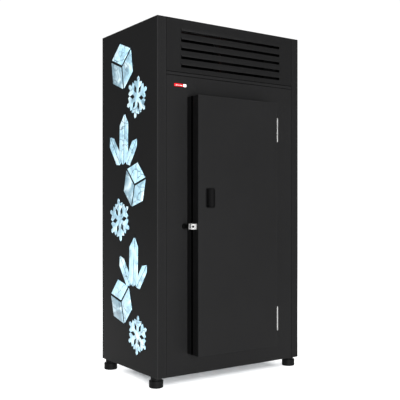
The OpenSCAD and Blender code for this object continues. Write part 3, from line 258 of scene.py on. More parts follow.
def painted_edge_highlight_group():
    """Mask along the edges of a box, broken up by noise, for a painted highlight on those edges.
    """
    group, start, end = new_group(
        "Painted Edge Highlight",
        [("Low", "NodeSocketVector", (0, 0, 0)), ("High", "NodeSocketVector", (1, 1, 1)),
         ("Width", "NodeSocketFloat", 0.004), ("Breakup", "NodeSocketFloat", 0.5)],
        [("Mask", "NodeSocketFloat")])
    place = add(group, "ShaderNodeTexCoord", (-900, 300))
    below = add(group, "ShaderNodeVectorMath", (-700, 200), operation="SUBTRACT")
    above = add(group, "ShaderNodeVectorMath", (-700, 0), operation="SUBTRACT")
    near = add(group, "ShaderNodeVectorMath", (-500, 100), operation="MINIMUM")
    parts = add(group, "ShaderNodeSeparateXYZ", (-340, 100))
    low_xy = add(group, "ShaderNodeMath", (-180, 260), operation="MINIMUM")
    high_xy = add(group, "ShaderNodeMath", (-180, 100), operation="MAXIMUM")
    low_z = add(group, "ShaderNodeMath", (-20, 100), operation="MINIMUM")
    second = add(group, "ShaderNodeMath", (120, 200), operation="MAXIMUM")
    noise = add(group, "ShaderNodeTexNoise", (-180, -160), {"Scale": 70.0, "Detail": 4.0})
    push = add(group, "ShaderNodeMath", (0, -160), operation="MULTIPLY")
    reach = add(group, "ShaderNodeMath", (120, -100), operation="MULTIPLY")
    fade = add(group, "ShaderNodeMapRange", (300, 60), {"To Min": 1.0, "To Max": 0.0},
               interpolation_type="SMOOTHSTEP")
    link = group.links.new
    link(place.outputs["Object"], below.inputs[0])
    link(start.outputs["Low"], below.inputs[1])
    link(start.outputs["High"], above.inputs[0])
    link(place.outputs["Object"], above.inputs[1])
    link(below.outputs[0], near.inputs[0])
    link(above.outputs[0], near.inputs[1])
    link(near.outputs[0], parts.inputs[0])
    for target in (low_xy, high_xy):
        link(parts.outputs["X"], target.inputs[0])
        link(parts.outputs["Y"], target.inputs[1])
    link(high_xy.outputs[0], low_z.inputs[0])
    link(parts.outputs["Z"], low_z.inputs[1])
    link(low_xy.outputs[0], second.inputs[0])
    link(low_z.outputs[0], second.inputs[1])
    link(noise.outputs["Fac"], push.inputs[0])
    link(start.outputs["Breakup"], push.inputs[1])
    link(push.outputs[0], reach.inputs[0])
    link(start.outputs["Width"], reach.inputs[1])
    link(place.outputs["Object"], noise.inputs["Vector"])
    link(second.outputs[0], fade.inputs["Value"])
    link(start.outputs["Width"], fade.inputs["From Max"])
    link(reach.outputs[0], fade.inputs["From Min"])
    link(fade.outputs["Result"], end.inputs["Mask"])
    return group


GROUPS = {}


def place_group(tree, name, at, inputs=None):
    """The shared group of that name, built the first time that it is asked for."""
    builders = {"grain": surface_grain_group, "handling": handling_group,
                "painted edge highlight": painted_edge_highlight_group}
    if name not in GROUPS:
        GROUPS[name] = builders[name]()
    return add(tree, "ShaderNodeGroup", at, inputs, node_tree=GROUPS[name])


def new_material(name, shader_inputs):
    """A material with its Principled shader at hand."""
    made = bpy.data.materials.new(name)
    made.use_nodes = True
    tree = made.node_tree
    shader = tree.nodes["Principled BSDF"]
    for key, value in shader_inputs.items():
        shader.inputs[key].default_value = value
    return made, tree, shader


def vary(tree, shader, socket, mask, low, high, at):
    """Drives a plain number of the shader by a mask, between two values."""
    made = add(tree, "ShaderNodeMapRange", at, {"To Min": low, "To Max": high})
    tree.links.new(mask, made.inputs["Value"])
    tree.links.new(made.outputs["Result"], shader.inputs[socket])
    return made


def tint(rgb, by):
    return tuple(min(1.0, c * by) for c in rgb)


def blend_colours(tree, mask, a, b, at):
    made = add(tree, "ShaderNodeMix", at, data_type="RGBA")
    tree.links.new(mask, made.inputs["Factor"])
    made.inputs["A"].default_value = (*a, 1)
    made.inputs["B"].default_value = (*b, 1)
    return made


# ---- Finishes ----------------------------------------------------------------


def powder_coat(name, rgb, box=None, painted_highlight_gain=1.7, roughness=(0.40, 0.52)):
    """Satin powder coat: fine orange peel, wiped clouds, and a painted highlight that lightens the
    colour along the edges of its box.
    """
    made, tree, shader = new_material(name, {"Specular IOR Level": 0.03})
    marks = place_group(tree, "handling", (-900, 100), {"Cloud per metre": 2.2, "Streaks": 0.25})
    shades = blend_colours(tree, marks.outputs["Mask"], tint(rgb, 0.82), tint(rgb, 1.18),
                           (-650, 250))
    vary(tree, shader, "Roughness", marks.outputs["Mask"], *roughness, (-350, 0))
    result = shades.outputs["Result"]
    # Painted highlight: the colour is made lighter along the edges of the box, where the folds
    # catch the light
    if box is not None:
        highlight_mask = place_group(tree, "painted edge highlight", (-900, 420),
                           {"Low": box[0], "High": box[1], "Width": 0.005, "Breakup": 0.35})
        painted_highlight = blend_colours(tree, highlight_mask.outputs["Mask"], rgb, tint(rgb, painted_highlight_gain), (-350, 400))
        tree.links.new(result, painted_highlight.inputs["A"])
        result = painted_highlight.outputs["Result"]
    tree.links.new(result, shader.inputs["Base Color"])
    grain = place_group(tree, "grain", (-350, -250), {"Grain per metre": 850, "Depth": 0.22})
    tree.links.new(grain.outputs["Normal"], shader.inputs["Normal"])
    return made


def moulded(name, rgb, roughness=(0.5, 0.65), grain=1600, depth=0.3, specular=0.08):
    """Moulded plastic or rubber with a spark-eroded grain."""
    made, tree, shader = new_material(name, {"Specular IOR Level": specular})
    marks = place_group(tree, "handling", (-900, 100), {"Cloud per metre": 9, "Streaks": 0.1})
    shades = blend_colours(tree, marks.outputs["Mask"], tint(rgb, 0.75), tint(rgb, 1.3),
                           (-600, 250))
    tree.links.new(shades.outputs["Result"], shader.inputs["Base Color"])
    vary(tree, shader, "Roughness", marks.outputs["Mask"], *roughness, (-350, 0))
    skin = place_group(tree, "grain", (-350, -250), {"Grain per metre": grain, "Depth": depth})
    tree.links.new(skin.outputs["Normal"], shader.inputs["Normal"])
    return made


def brushed(name, rgb, along="Z", roughness=(0.45, 0.6), line=900):
    """Brushed metal: long fine scratches along one axis in colour, gloss and height."""
    made, tree, shader = new_material(name, {"Metallic": 1.0})
    place = add(tree, "ShaderNodeTexCoord", (-1300, 100))
    scale = [line, line, line]
    scale["XYZ".index(along)] = line / 45
    squeeze = add(tree, "ShaderNodeMapping", (-1100, 100), {"Scale": scale})
    scratch = add(tree, "ShaderNodeTexNoise", (-900, 100), {"Scale": 1.0, "Detail": 4.0})
    bump = add(tree, "ShaderNodeBump", (-250, -250), {"Strength": 0.12, "Distance": 0.0002})
    shades = blend_colours(tree, scratch.outputs["Fac"], tint(rgb, 0.78), tint(rgb, 1.12),
                           (-500, 250))
    link = tree.links.new
    link(place.outputs["Object"], squeeze.inputs["Vector"])
    link(squeeze.outputs["Vector"], scratch.inputs["Vector"])
    link(shades.outputs["Result"], shader.inputs["Base Color"])
    link(scratch.outputs["Fac"], bump.inputs["Height"])
    link(bump.outputs["Normal"], shader.inputs["Normal"])
    vary(tree, shader, "Roughness", scratch.outputs["Fac"], *roughness, (-350, 0))
    return made


def galvanised(name, rgb, painted=False):
    """Hot-dip zinc: flat crystals of slightly different grey and gloss. The faces that look
    forward or up into the machine room can be turned near black, as painted shade for the dark
    room."""
    made, tree, shader = new_material(name, {"Metallic": 0.9})
    place = add(tree, "ShaderNodeTexCoord", (-1300, 100))
    flakes = add(tree, "ShaderNodeTexVoronoi", (-1000, 200), {"Scale": 70.0, "Randomness": 0.9})
    grey = add(tree, "ShaderNodeRGBToBW", (-800, 200))
    cloud = place_group(tree, "handling", (-1000, -100), {"Cloud per metre": 3, "Streaks": 0.3})
    both = add(tree, "ShaderNodeMix", (-600, 100), {"Factor": 0.35}, data_type="FLOAT")
    shades = blend_colours(tree, both.outputs["Result"], tint(rgb, 0.72), tint(rgb, 1.15),
                           (-350, 250))
    link = tree.links.new
    link(place.outputs["Object"], flakes.inputs["Vector"])
    link(flakes.outputs["Color"], grey.inputs["Color"])
    link(grey.outputs["Val"], both.inputs["A"])
    link(cloud.outputs["Mask"], both.inputs["B"])
    result = shades.outputs["Result"]
    # Painted shade: faces that look forward or up turn near black and lose their metal
    if painted:
        facing = add(tree, "ShaderNodeVectorMath", (-900, 450), operation="DOT_PRODUCT")
        facing.inputs[1].default_value = (0, 1, -1)
        outward = add(tree, "ShaderNodeMath", (-700, 450), {1: 0.5}, operation="GREATER_THAN")
        coat = blend_colours(tree, outward.outputs[0], (0.001, 0.001, 0.001), rgb, (-150, 400))
        link(place.outputs["Normal"], facing.inputs[0])
        link(facing.outputs["Value"], outward.inputs[0])
        link(result, coat.inputs["B"])
        link(outward.outputs[0], shader.inputs["Metallic"])
        result = coat.outputs["Result"]
    link(result, shader.inputs["Base Color"])
    vary(tree, shader, "Roughness", both.outputs["Result"], 0.32, 0.58, (-350, 0))
    skin = place_group(tree, "grain", (-350, -250), {"Grain per metre": 400, "Depth": 0.12})
    link(skin.outputs["Normal"], shader.inputs["Normal"])
    return made


def expanded_foam(name, rgb):
    """Rigid foam with small closed cells."""
    made, tree, shader = new_material(name, {"Roughness": 0.9, "Specular IOR Level": 0.2})
    place = add(tree, "ShaderNodeTexCoord", (-1000, 100))
    cells = add(tree, "ShaderNodeTexVoronoi", (-800, 100), {"Scale": 420.0})
    shades = blend_colours(tree, cells.outputs["Distance"], tint(rgb, 0.8), tint(rgb, 1.1),
                           (-500, 250))
    bump = add(tree, "ShaderNodeBump", (-300, -200), {"Strength": 0.5, "Distance": 0.0005})
    link = tree.links.new
    link(place.outputs["Object"], cells.inputs["Vector"])
    link(shades.outputs["Result"], shader.inputs["Base Color"])
    link(cells.outputs["Distance"], bump.inputs["Height"])
    link(bump.outputs["Normal"], shader.inputs["Normal"])
    return made


def frosted_ice(name, light, shade):
    """Clear ice as printed film: pale clouds, blue depths and slate cracks."""
    made, tree, shader = new_material(
        name, {"Roughness": 0.3, "Coat Weight": 0.4, "Coat Roughness": 0.12})
    place = add(tree, "ShaderNodeTexCoord", (-1500, 100))
    cloud = add(tree, "ShaderNodeTexNoise", (-1200, 300),
                {"Scale": 14.0, "Detail": 5.0, "Distortion": 0.8})
    body = ramp(tree, (-950, 300), [(0.32, tint(light, 0.6)), (0.48, light),
                                    (0.70, (0.70, 0.88, 0.94))])
    warp = add(tree, "ShaderNodeTexNoise", (-1400, -200), {"Scale": 9.0, "Detail": 3.0})
    shift = add(tree, "ShaderNodeMix", (-1200, -100), {"Factor": 0.09}, data_type="VECTOR")
    cracks = add(tree, "ShaderNodeTexVoronoi", (-1000, -100), {"Scale": 17.0},
                 feature="DISTANCE_TO_EDGE")
    thin = ramp(tree, (-800, -100), [(0.0, 1.0), (0.055, 0.0)])
    patch = ramp(tree, (-950, 60), [(0.44, 0.0), (0.56, 0.9)])
    where = add(tree, "ShaderNodeMath", (-550, 0), operation="MULTIPLY")
    lines = blend_colours(tree, where.outputs[0], light, shade, (-300, 200))
    link = tree.links.new
    link(place.outputs["Object"], cloud.inputs["Vector"])
    link(place.outputs["Object"], warp.inputs["Vector"])
    link(place.outputs["Object"], shift.inputs["A"])
    link(warp.outputs["Color"], shift.inputs["B"])
    link(shift.outputs["Result"], cracks.inputs["Vector"])
    link(cracks.outputs["Distance"], thin.inputs["Fac"])
    link(warp.outputs["Fac"], patch.inputs["Fac"])
    link(thin.outputs["Color"], where.inputs[0])
    link(patch.outputs["Color"], where.inputs[1])
    link(cloud.outputs["Fac"], body.inputs["Fac"])
    link(body.outputs["Color"], lines.inputs["A"])
    link(lines.outputs["Result"], shader.inputs["Base Color"])
    skin = place_group(tree, "grain", (-350, -250), {"Grain per metre": 120, "Depth": 0.15})
    link(skin.outputs["Normal"], shader.inputs["Normal"])
    return made


MATERIALS = {}


def finish(name):
    """The material of that name; the finishes are built by the first operator."""
    return MATERIALS[name]


# Painted shade of each painted outer sheet, as a darker or lighter copy of the one coat for how
# the light falls on it, and the gain of the painted highlight on its edges; then the parts that
# take each other finish
PAINTED_SHEETS = {
    "left_side_panel": (0.92, 1.9), "right_side_panel": (0.85, 1.3), "top_panel": (1, 1.5),
    "front_frame": (0.96, 1), "header_rail": (1, 1), "louver_panel": (0.78, 1),
    "door_outer_pan": (0.9, 1.2),
}
PARTS = {
    "galvanised": ("back_panel", "base_pan", "foot_nuts"),
    "vent panel": ("rear_vent_panel", "machine_deck"),
    "liner": ("inner_liner", "door_inner_panel", "evaporator_housing"),
    "plastic": ("door_casing", "door_edge_frame", "throat_breaker",
                "foot_front_left", "foot_front_right", "foot_rear_left", "foot_rear_right",
                "terminal_cover", "thermostat_knob", "cable_gland", "drain_tube",
                "evaporator_fan_motors", "evaporator_fan_left", "evaporator_fan_right"),
    "cup plastic": ("pull_cup",),
    "rubber": ("door_gasket", "frame_stop", "compressor_mounts"),
    "stainless": ("casing_lug", "door_lug", "fan_guards"),
    "shaded hinge steel": ("upper_hinge_bracket", "lower_hinge_bracket", "hinge_pins",
                    "upper_door_leaf", "lower_door_leaf", "panel_screws",
                    "door_leaf_screws"),
    "foam": ("foam_core", "door_foam"),
    "copper": ("filter_drier", "discharge_line", "liquid_line", "suction_line"),
    "aluminium": ("evaporator_coil", "condenser_fan"),
    "machine paint in shade": ("compressor", "condenser_shroud", "control_box", "condenser_coil",
                      "condensing_base", "condenser_fan_motor", "motor_bracket"),
}
# Folded and moulded parts whose edges are visibly soft
SOFT_EDGED = ("left_side_panel", "right_side_panel", "top_panel", "front_frame",
              "header_rail", "door_outer_pan", "door_casing", "door_edge_frame", "pull_cup",
              "upper_hinge_bracket", "lower_hinge_bracket", "casing_lug", "door_lug",
              "upper_door_leaf", "lower_door_leaf", "frame_stop", "control_box",
              "condensing_base", "throat_breaker")


class FREEZER_OT_finishes(bpy.types.Operator):
    """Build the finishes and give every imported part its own"""

    bl_idname = "freezer.finishes"
    bl_label = "Finishes"

    def execute(self, context):
        c = context.scene.freezer_colours
        MATERIALS.update({
            # Black machine enamel, made far darker than the coat as painted shade, so the machine
            # room reads black through the louvre mouths
            "machine paint in shade": powder_coat("Black Machine Enamel In Painted Shade", tint(c.paint, 0.15)),
            # The vent panel and the deck are near black inside as painted shade
            "vent panel": galvanised("Galvanised Vent Panel With Painted Shade", c.zinc, painted=True),
            "plastic": moulded("Black Moulded Plastic", c.plastic),
            "cup plastic": moulded("Matt Black Plastic", tint(c.plastic, 1.1), (0.6, 0.75),
                                   specular=0.03),
            "rubber": moulded("Black Rubber", c.rubber, (0.7, 0.85), 2200, 0.4, 0.02),
            # Near black with no gloss, for painted shade: strips, lip and bushing put where there
            # is only shade in the groove, the seams and the padlock hole
            "shade black": moulded("Painted Shade Black", (0.0004, 0.0004, 0.0004), (0.8, 0.9),
                                   2200, 0.4, 0.0),
            "liner": powder_coat("White Liner Enamel", c.liner, roughness=(0.28, 0.4)),
            "stainless": brushed("Brushed Stainless", c.steel),
            # The hinges take a darkened copy of the stainless: painted shade that dims their
            # highlight
            "shaded hinge steel": brushed("Stainless In Painted Shade", tint(c.steel, 0.4)),
            "aluminium": brushed("Bare Aluminium", (0.7, 0.71, 0.72), "Z", (0.3, 0.5)),
            # Copper darkened nearly to black as painted shade, for the dark machine room seen
            # through the louvres
            "copper": brushed("Copper In Painted Shade", (0.012, 0.008, 0.007), "Z", (0.6, 0.8), 400),
            "galvanised": galvanised("Galvanised Sheet", c.zinc),
            "foam": expanded_foam("Insulating Foam", (0.7, 0.58, 0.28)),
            "ice": frosted_ice("Printed Ice", c.ice, c.ice_shade),
            "bright ice": frosted_ice("Bright Printed Ice", tint(c.ice, 1.25), c.ice_shade),
            "deep ice": frosted_ice("Deep Printed Ice", tint(c.ice, 0.6), c.ice_shade),
            "ice outline": moulded("Dark Print Edge", (0.004, 0.005, 0.006)),
            "red enamel": powder_coat("Red Enamel", c.badge, roughness=(0.2, 0.3)),
            "white enamel": powder_coat("White Enamel", (0.75, 0.75, 0.74),
                                        roughness=(0.2, 0.3)),
        })
        # Each sheet takes its own copy of the coat, darker or lighter as painted shade, with a
        # painted highlight along its edges
        for name, (shade, painted_highlight) in PAINTED_SHEETS.items():
            self.dress(name, powder_coat("Charcoal Coat With Painted Light " + name.replace("_", " "),
                                         tint(c.paint, shade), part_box(name), painted_highlight))
        for key, names in PARTS.items():
            for name in names:
                self.dress(name, finish(key))
        return {"FINISHED"}

    def dress(self, name, material):
        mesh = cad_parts[name].data
        mesh.materials.clear()
        mesh.materials.append(material)


def soft_shading_group(limit):
    """Joins a part's triangles and shades it smooth up to an angle between its faces."""
    group = bpy.data.node_groups.new("Soft Shading", "GeometryNodeTree")
    group.is_modifier = True
    for in_out in ("INPUT", "OUTPUT"):
        group.interface.new_socket(name="Geometry", in_out=in_out,
                                   socket_type="NodeSocketGeometry")
    start = add(group, "NodeGroupInput", (-800, 0))
    merge = add(group, "GeometryNodeMergeByDistance", (-600, 0), {"Distance": 1e-5})
    faces = add(group, "GeometryNodeSetShadeSmooth", (-400, 0), domain="FACE")
    angle = add(group, "GeometryNodeInputMeshEdgeAngle", (-600, -250))
    below = add(group, "FunctionNodeCompare", (-400, -250), {"B": limit}, data_type="FLOAT",
                operation="LESS_THAN")
    edges = add(group, "GeometryNodeSetShadeSmooth", (-200, 0), domain="EDGE")
    end = add(group, "NodeGroupOutput", (0, 0))
    link = group.links.new
    link(start.outputs[0], merge.inputs["Geometry"])
    link(merge.outputs["Geometry"], faces.inputs["Geometry"])
    link(faces.outputs["Geometry"], edges.inputs["Geometry"])
    link(angle.outputs["Unsigned Angle"], below.inputs["A"])
    link(below.outputs["Result"], edges.inputs["Shade Smooth"])
    link(edges.outputs["Geometry"], end.inputs[0])
    return group


class FREEZER_OT_soft_edges(bpy.types.Operator):
    """Shade round parts smooth, and round the edges of folded sheet and moulded parts"""

    bl_idname = "freezer.soft_edges"
    bl_label = "Soft Edges"

    def execute(self, context):
        radius = context.scene.freezer_sizes.soft_edge
        group = soft_shading_group(SMOOTH_ANGLE)
        for name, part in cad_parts.items():
            part.modifiers.new("Soft shading", "NODES").node_group = group
            if name not in SOFT_EDGED:
                continue
            bevel = part.modifiers.new("Soft edge", "BEVEL")
            bevel.width = radius
            bevel.segments = 2
            bevel.limit_method = "ANGLE"
            bevel.angle_limit = FOLD_ANGLE
            bevel.harden_normals = True
        return {"FINISHED"}


# ---- Ice figures on the left side --------------------------------------------

SIDE_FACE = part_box("left_side_panel")[0].x
# Shares of a figure's relief that are its dark outline and the ice on it, and the share of the
# ice's own thickness that is rounded
OUTLINE_SHARE, ICE_SHARE, ICE_ROUNDING = 0.3, 0.7, 0.85
# How far a flake's outline shows round it, and the half width of its arms as a share of its radius
FLAKE_RIM, FLAKE_ARM = 0.0022, 0.1
CRYSTAL_WIDTH = 0.36


def figure_plate(name, outline, at, relief, material, base=0.0, edge=0.0):
    """A raised plate on the left side from an outline in Y and Z around a point. The rounding
    of its edge is a share of its relief, and so it never reaches the foot of the plate."""
    bm = bmesh.new()
    face = polygon(bm, [Vector((SIDE_FACE - base, at[0] - y, at[1] + z)) for y, z in outline])
    thicken(bm, face, Vector((-relief, 0, 0)), relief * edge)
    finish_piece(bm, name, material, "cabinet")


def turned(points, degrees):
    """Points of an outline, turned about the middle."""
    c, s = math.cos(math.radians(degrees)), math.sin(math.radians(degrees))
    return [(x * c - y * s, x * s + y * c) for x, y in points]


def grown(points, by):
    """An outline pushed away from its middle."""
    out = []
    for x, y in points:
        far = math.hypot(x, y)
        out.append((x * (far + by) / far, y * (far + by) / far))
    return out


def ice_block(size, tilt):
    """Three faces of a cube seen from a corner, with gaps between them."""
    r, gap = size / 2, size * 0.022
    corner = [(r * math.sin(math.radians(60 * i)), r * math.cos(math.radians(60 * i)))
              for i in range(6)]
    faces = []
    for i in (1, 3, 5):
        a, b, c = corner[i - 2], corner[i - 1], corner[i]
        middle = ((a[0] + c[0]) / 2, (a[1] + c[1]) / 2)
        quad = [(0, 0), a, b, c]
        pull = 1 - 2.6 * gap / r
        faces.append(turned([((x - middle[0]) * pull + middle[0],
                              (y - middle[1]) * pull + middle[1]) for x, y in quad], tilt))
    return faces, turned(grown(corner, gap), tilt)


def crystal(height, width, tilt, root):
    """A long pointed crystal that grows from a root, split down its middle ridge."""
    h, w = height, width / 2
    left = [(-w * 0.07, h * 0.96), (-w, h * 0.76), (-w * 0.86, h * 0.12), (-w * 0.07, 0)]
    right = [(w * 0.07, 0), (w, h * 0.10), (w * 0.8, h * 0.80), (w * 0.07, h * 0.96)]
    whole = [(0, h), (-w, h * 0.76), (-w * 0.86, h * 0.12), (0, 0), (w, h * 0.10),
             (w * 0.8, h * 0.80)]
    middle = (0, h / 2)
    edge = [(x + middle[0], y + middle[1]) for x, y in
            grown([(x - middle[0], y - middle[1]) for x, y in whole], width * 0.05)]
    return [[(x + root[0], y + root[1]) for x, y in turned(part, tilt)]
            for part in (left, right, edge)]


def flake(r, w, tilt):
    """A six-armed flake as one outline: each arm runs from the notch on its right, over its
    side branches and its tip, to just before the notch that it shares with the next arm."""
    right = [(w, w / math.tan(math.radians(30))), (w, r * 0.42), (r * 0.34, r * 0.60),
             (r * 0.34, r * 0.60 + w * 1.7), (w, r * 0.62 + w * 1.2), (w, r - w * 0.8), (0, r)]
    left = [(-x, y) for x, y in reversed(right[1:-1])]
    return [point for i in range(6) for point in turned(right + left, tilt + 60 * i)]


class FREEZER_OT_ice_figures(bpy.types.Operator):
    """Raise the ice blocks, crystals and flakes on the left side"""

    bl_idname = "freezer.ice_figures"
    bl_label = "Ice Figures"

    # Kind, height of its middle over the floor, offset from the side's middle, size, tilt
    LAYOUT = (
        ("block", 1.795, 0.070, 0.290, 9),
        ("flake", 1.595, -0.105, 0.118, -10),
        ("crystals", 1.375, 0.055, 0.300, 0),
        ("block", 1.105, -0.080, 0.272, -15),
        ("flake", 0.905, 0.098, 0.126, 7),
        ("crystals", 0.675, -0.060, 0.290, 0),
        ("block", 0.430, 0.078, 0.276, 17),
        ("flake", 0.262, -0.112, 0.112, -4),
    )
    # Share of the height, tilt and sideways root of the crystals in a group, tallest last
    GROUP = ((0.72, 36, -0.12), (0.62, -41, 0.14), (1.0, -4, 0.0))

    def execute(self, context):
        relief = context.scene.freezer_sizes.figure_relief
        low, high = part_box("left_side_panel")
        middle = (low.y + high.y) / 2
        for i, (kind, z, offset, size, tilt) in enumerate(self.LAYOUT):
            at = (middle + offset, z)
            name = f"ice_{kind}_{i + 1}"
            if kind == "flake":
                arm = size * FLAKE_ARM
                self.figure(name, at, flake(size + FLAKE_RIM, arm + FLAKE_RIM, tilt),
                            (flake(size, arm, tilt),), ("ice",), relief)
            elif kind == "block":
                faces, whole = ice_block(size, tilt)
                self.figure(name, at, whole, faces, ("bright ice", "ice", "deep ice"), relief)
            else:
                for j, (share, lean, side) in enumerate(self.GROUP):
                    tall = size * share
                    left, right, whole = crystal(tall, tall * CRYSTAL_WIDTH, lean + tilt,
                                                 (side * size, -size / 2))
                    self.figure(f"{name}_{j + 1}", at, whole, (left, right),
                                ("bright ice", "ice"), relief * (0.75 + 0.2 * j))
        return {"FINISHED"}

    def figure(self, name, at, whole, faces, finishes, relief):
        """Faces of ice on a dark plate that shows as their outline"""
        foot = relief * OUTLINE_SHARE
        figure_plate(name + "_outline", whole, at, foot, finish("ice outline"))
        for j, (outline, key) in enumerate(zip(faces, finishes)):
            figure_plate(f"{name}_face_{j + 1}", outline, at, relief * ICE_SHARE, finish(key),
                         foot, ICE_ROUNDING)


class FREEZER_OT_badge(bpy.types.Operator):
    """Fit the plain enamel plate above the door"""

    bl_idname = "freezer.badge"
    bl_label = "Badge"

    # Place of the plate's left end and of its middle, from the left side and the frame's top
    FROM_SIDE, FROM_TOP = 0.107, 0.0505
    # Thickness of the plate, its end and its bars, and where those two start over the frame
    PLATE, END, BAR, RAISED = 0.0016, 0.0008, 0.0005, 0.0014
    # Start and end of each bar along the plate
    BARS = ((0.12, 0.28), (0.34, 0.44), (0.50, 0.68))

    def execute(self, context):
        s = context.scene.freezer_sizes
        low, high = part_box("front_frame")
        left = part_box("left_side_panel")[0].x + self.FROM_SIDE
        middle = high.z - self.FROM_TOP
        face = low.y
        wide, tall = s.badge_width, s.badge_height
        self.plate("badge_plate", left, left + wide, middle, tall, face, self.PLATE,
                   "red enamel")
        self.plate("badge_end", left + wide * 0.76, left + wide * 1.02, middle, tall * 0.96,
                   face - self.RAISED, self.END, "white enamel")
        for i, (x0, x1) in enumerate(self.BARS):
            self.plate(f"badge_bar_{i + 1}", left + wide * x0, left + wide * x1,
                       middle - tall * 0.08, tall * 0.16, face - self.RAISED, self.BAR,
                       "white enamel")
        return {"FINISHED"}

    def plate(self, name, x0, x1, z, tall, y, thick, material):
        bm = bmesh.new()
        face = polygon(bm, [Vector((x, y, z + side)) for x, side in (
            (x0, -tall / 2), (x1, -tall / 2), (x1, tall / 2), (x0, tall / 2))])
        corners = face.verts[:]
        bmesh.ops.bevel(bm, geom=corners, offset=tall * 0.22, segments=4, profile=0.5,
                        affect="VERTICES", material=-1)
        for face in bm.faces[:]:
            thicken(bm, face, Vector((0, -thick, 0)), thick * 0.45)
        finish_piece(bm, name, finish(material), "cabinet")


def ring(name, low, high, grow, width, front, depth, material, body):
    """A frame round the door's outline: grown by so much, so wide, so deep from its front."""
    bm = bmesh.new()
    face = polygon(bm, [Vector((x, front, z)) for x, z in (
        (low.x - grow, low.z - grow), (high.x + grow, low.z - grow),
        (high.x + grow, high.z + grow), (low.x - grow, high.z + grow))])
    face.normal_update()
    bmesh.ops.inset_individual(bm, faces=[face], thickness=width, use_even_offset=True)
    bmesh.ops.delete(bm, geom=[face], context="FACES")
    made = bmesh.ops.extrude_face_region(bm, geom=bm.faces[:], use_keep_orig=True)
    bmesh.ops.translate(bm, vec=(0, depth, 0),
                        verts=[g for g in made["geom"] if isinstance(g, bmesh.types.BMVert)])
    finish_piece(bm, name, material, body)


class FREEZER_OT_door_groove_shade(bpy.types.Operator):
    """Fit near-black painted shade round the door: a strip on the casing's edge and the gasket's
    outer lip, for the shade in the groove between them
    """

    bl_idname = "freezer.door_seal"
    bl_label = "Door Groove Shade"

    def execute(self, context):
        s = context.scene.freezer_sizes
        low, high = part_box("door_casing")
        ring("casing_edge_shade", low, high, s.shade_strip_thick, s.shade_strip_width, low.y - s.shade_strip_thick,
             s.shade_strip_depth, finish("shade black"), "cabinet")
        low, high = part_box("door_edge_frame")
        ring("gasket_lip_shade", low, high, s.shade_strip_thick, s.shade_lip_width, high.y - s.shade_lip_depth / 2,
             s.shade_lip_depth, finish("shade black"), "door")
        return {"FINISHED"}


class FREEZER_OT_lock_hole_shade(bpy.types.Operator):
    """Line the padlock hole of the door's lug with a near-black flanged bushing, as painted shade
    that darkens the hole
    """

    bl_idname = "freezer.lock_bushing"
    bl_label = "Lock Hole Shade"

    def execute(self, context):
        s = context.scene.freezer_sizes
        low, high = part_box("door_lug")
        axis = Vector((high.x - s.lock_from_door, 0, (low.z + high.z) / 2))
        bore, lining = s.lock_radius - s.bushing_wall, s.lock_radius - s.bushing_wall / 4
        bm = bmesh.new()
        polygon(bm, [Vector((axis.x + r, low.y + y, axis.z)) for r, y in (
            (bore, -s.bushing_wall), (s.flange_radius, -s.bushing_wall), (s.flange_radius, 0),
            (lining, 0), (lining, s.lug_thick), (bore, s.lug_thick))])
        bmesh.ops.delete(bm, geom=bm.faces[:], context="FACES_ONLY")
        bmesh.ops.spin(bm, geom=bm.verts[:] + bm.edges[:], cent=axis, axis=(0, 1, 0), steps=40,
                       angle=math.radians(360), use_merge=True)
        finish_piece(bm, "lock_bushing", finish("shade black"), "door")
        return {"FINISHED"}


class FREEZER_OT_seam_shade_strips(bpy.types.Operator):
    """Close the seams of the front with near-black strips, set back a little, as painted shade in
    the gaps
    """

    bl_idname = "freezer.seam_seals"
    bl_label = "Seam Shade Strips"

    def execute(self, context):
        depth = context.scene.freezer_sizes.shade_strip_set_back
        rail_low, rail_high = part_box("header_rail")
        foot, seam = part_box("front_frame")[0].z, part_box("front_frame")[1].z
        gap = rail_low.z - seam
        panel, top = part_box("louver_panel")[0].z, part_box("louver_panel")[1].z
        for name, x0, x1, z0, z1 in (
                ("seam_shade_low", rail_low.x, rail_high.x, seam, rail_low.z),
                ("seam_shade_high", rail_low.x, rail_high.x, rail_high.z, panel),
                ("seam_shade_left", rail_low.x - gap, rail_low.x, foot, top),
                ("seam_shade_right", rail_high.x, rail_high.x + gap, foot, top)):
            bm = bmesh.new()
            face = polygon(bm, [Vector((x, rail_low.y + depth, z)) for x, z in (
                (x0, z0), (x1, z0), (x1, z1), (x0, z1))])
            thicken(bm, face, Vector((0, depth, 0)))
            finish_piece(bm, name, finish("shade black"), "cabinet")
        return {"FINISHED"}


# ---- Studio ------------------------------------------------------------------

FLOOR_SIZE = 30
# Strength of the white that the camera sees behind the object
BACKDROP = 1.05
# Place of the camera, its heading in degrees, its lens in mm and its rise as a share of the frame
CAMERA_AT, CAMERA_HEADING = (-2.4543, -3.50945, 0.987), -34.578
CAMERA_LENS, CAMERA_RISE = 63.4, 0.01425


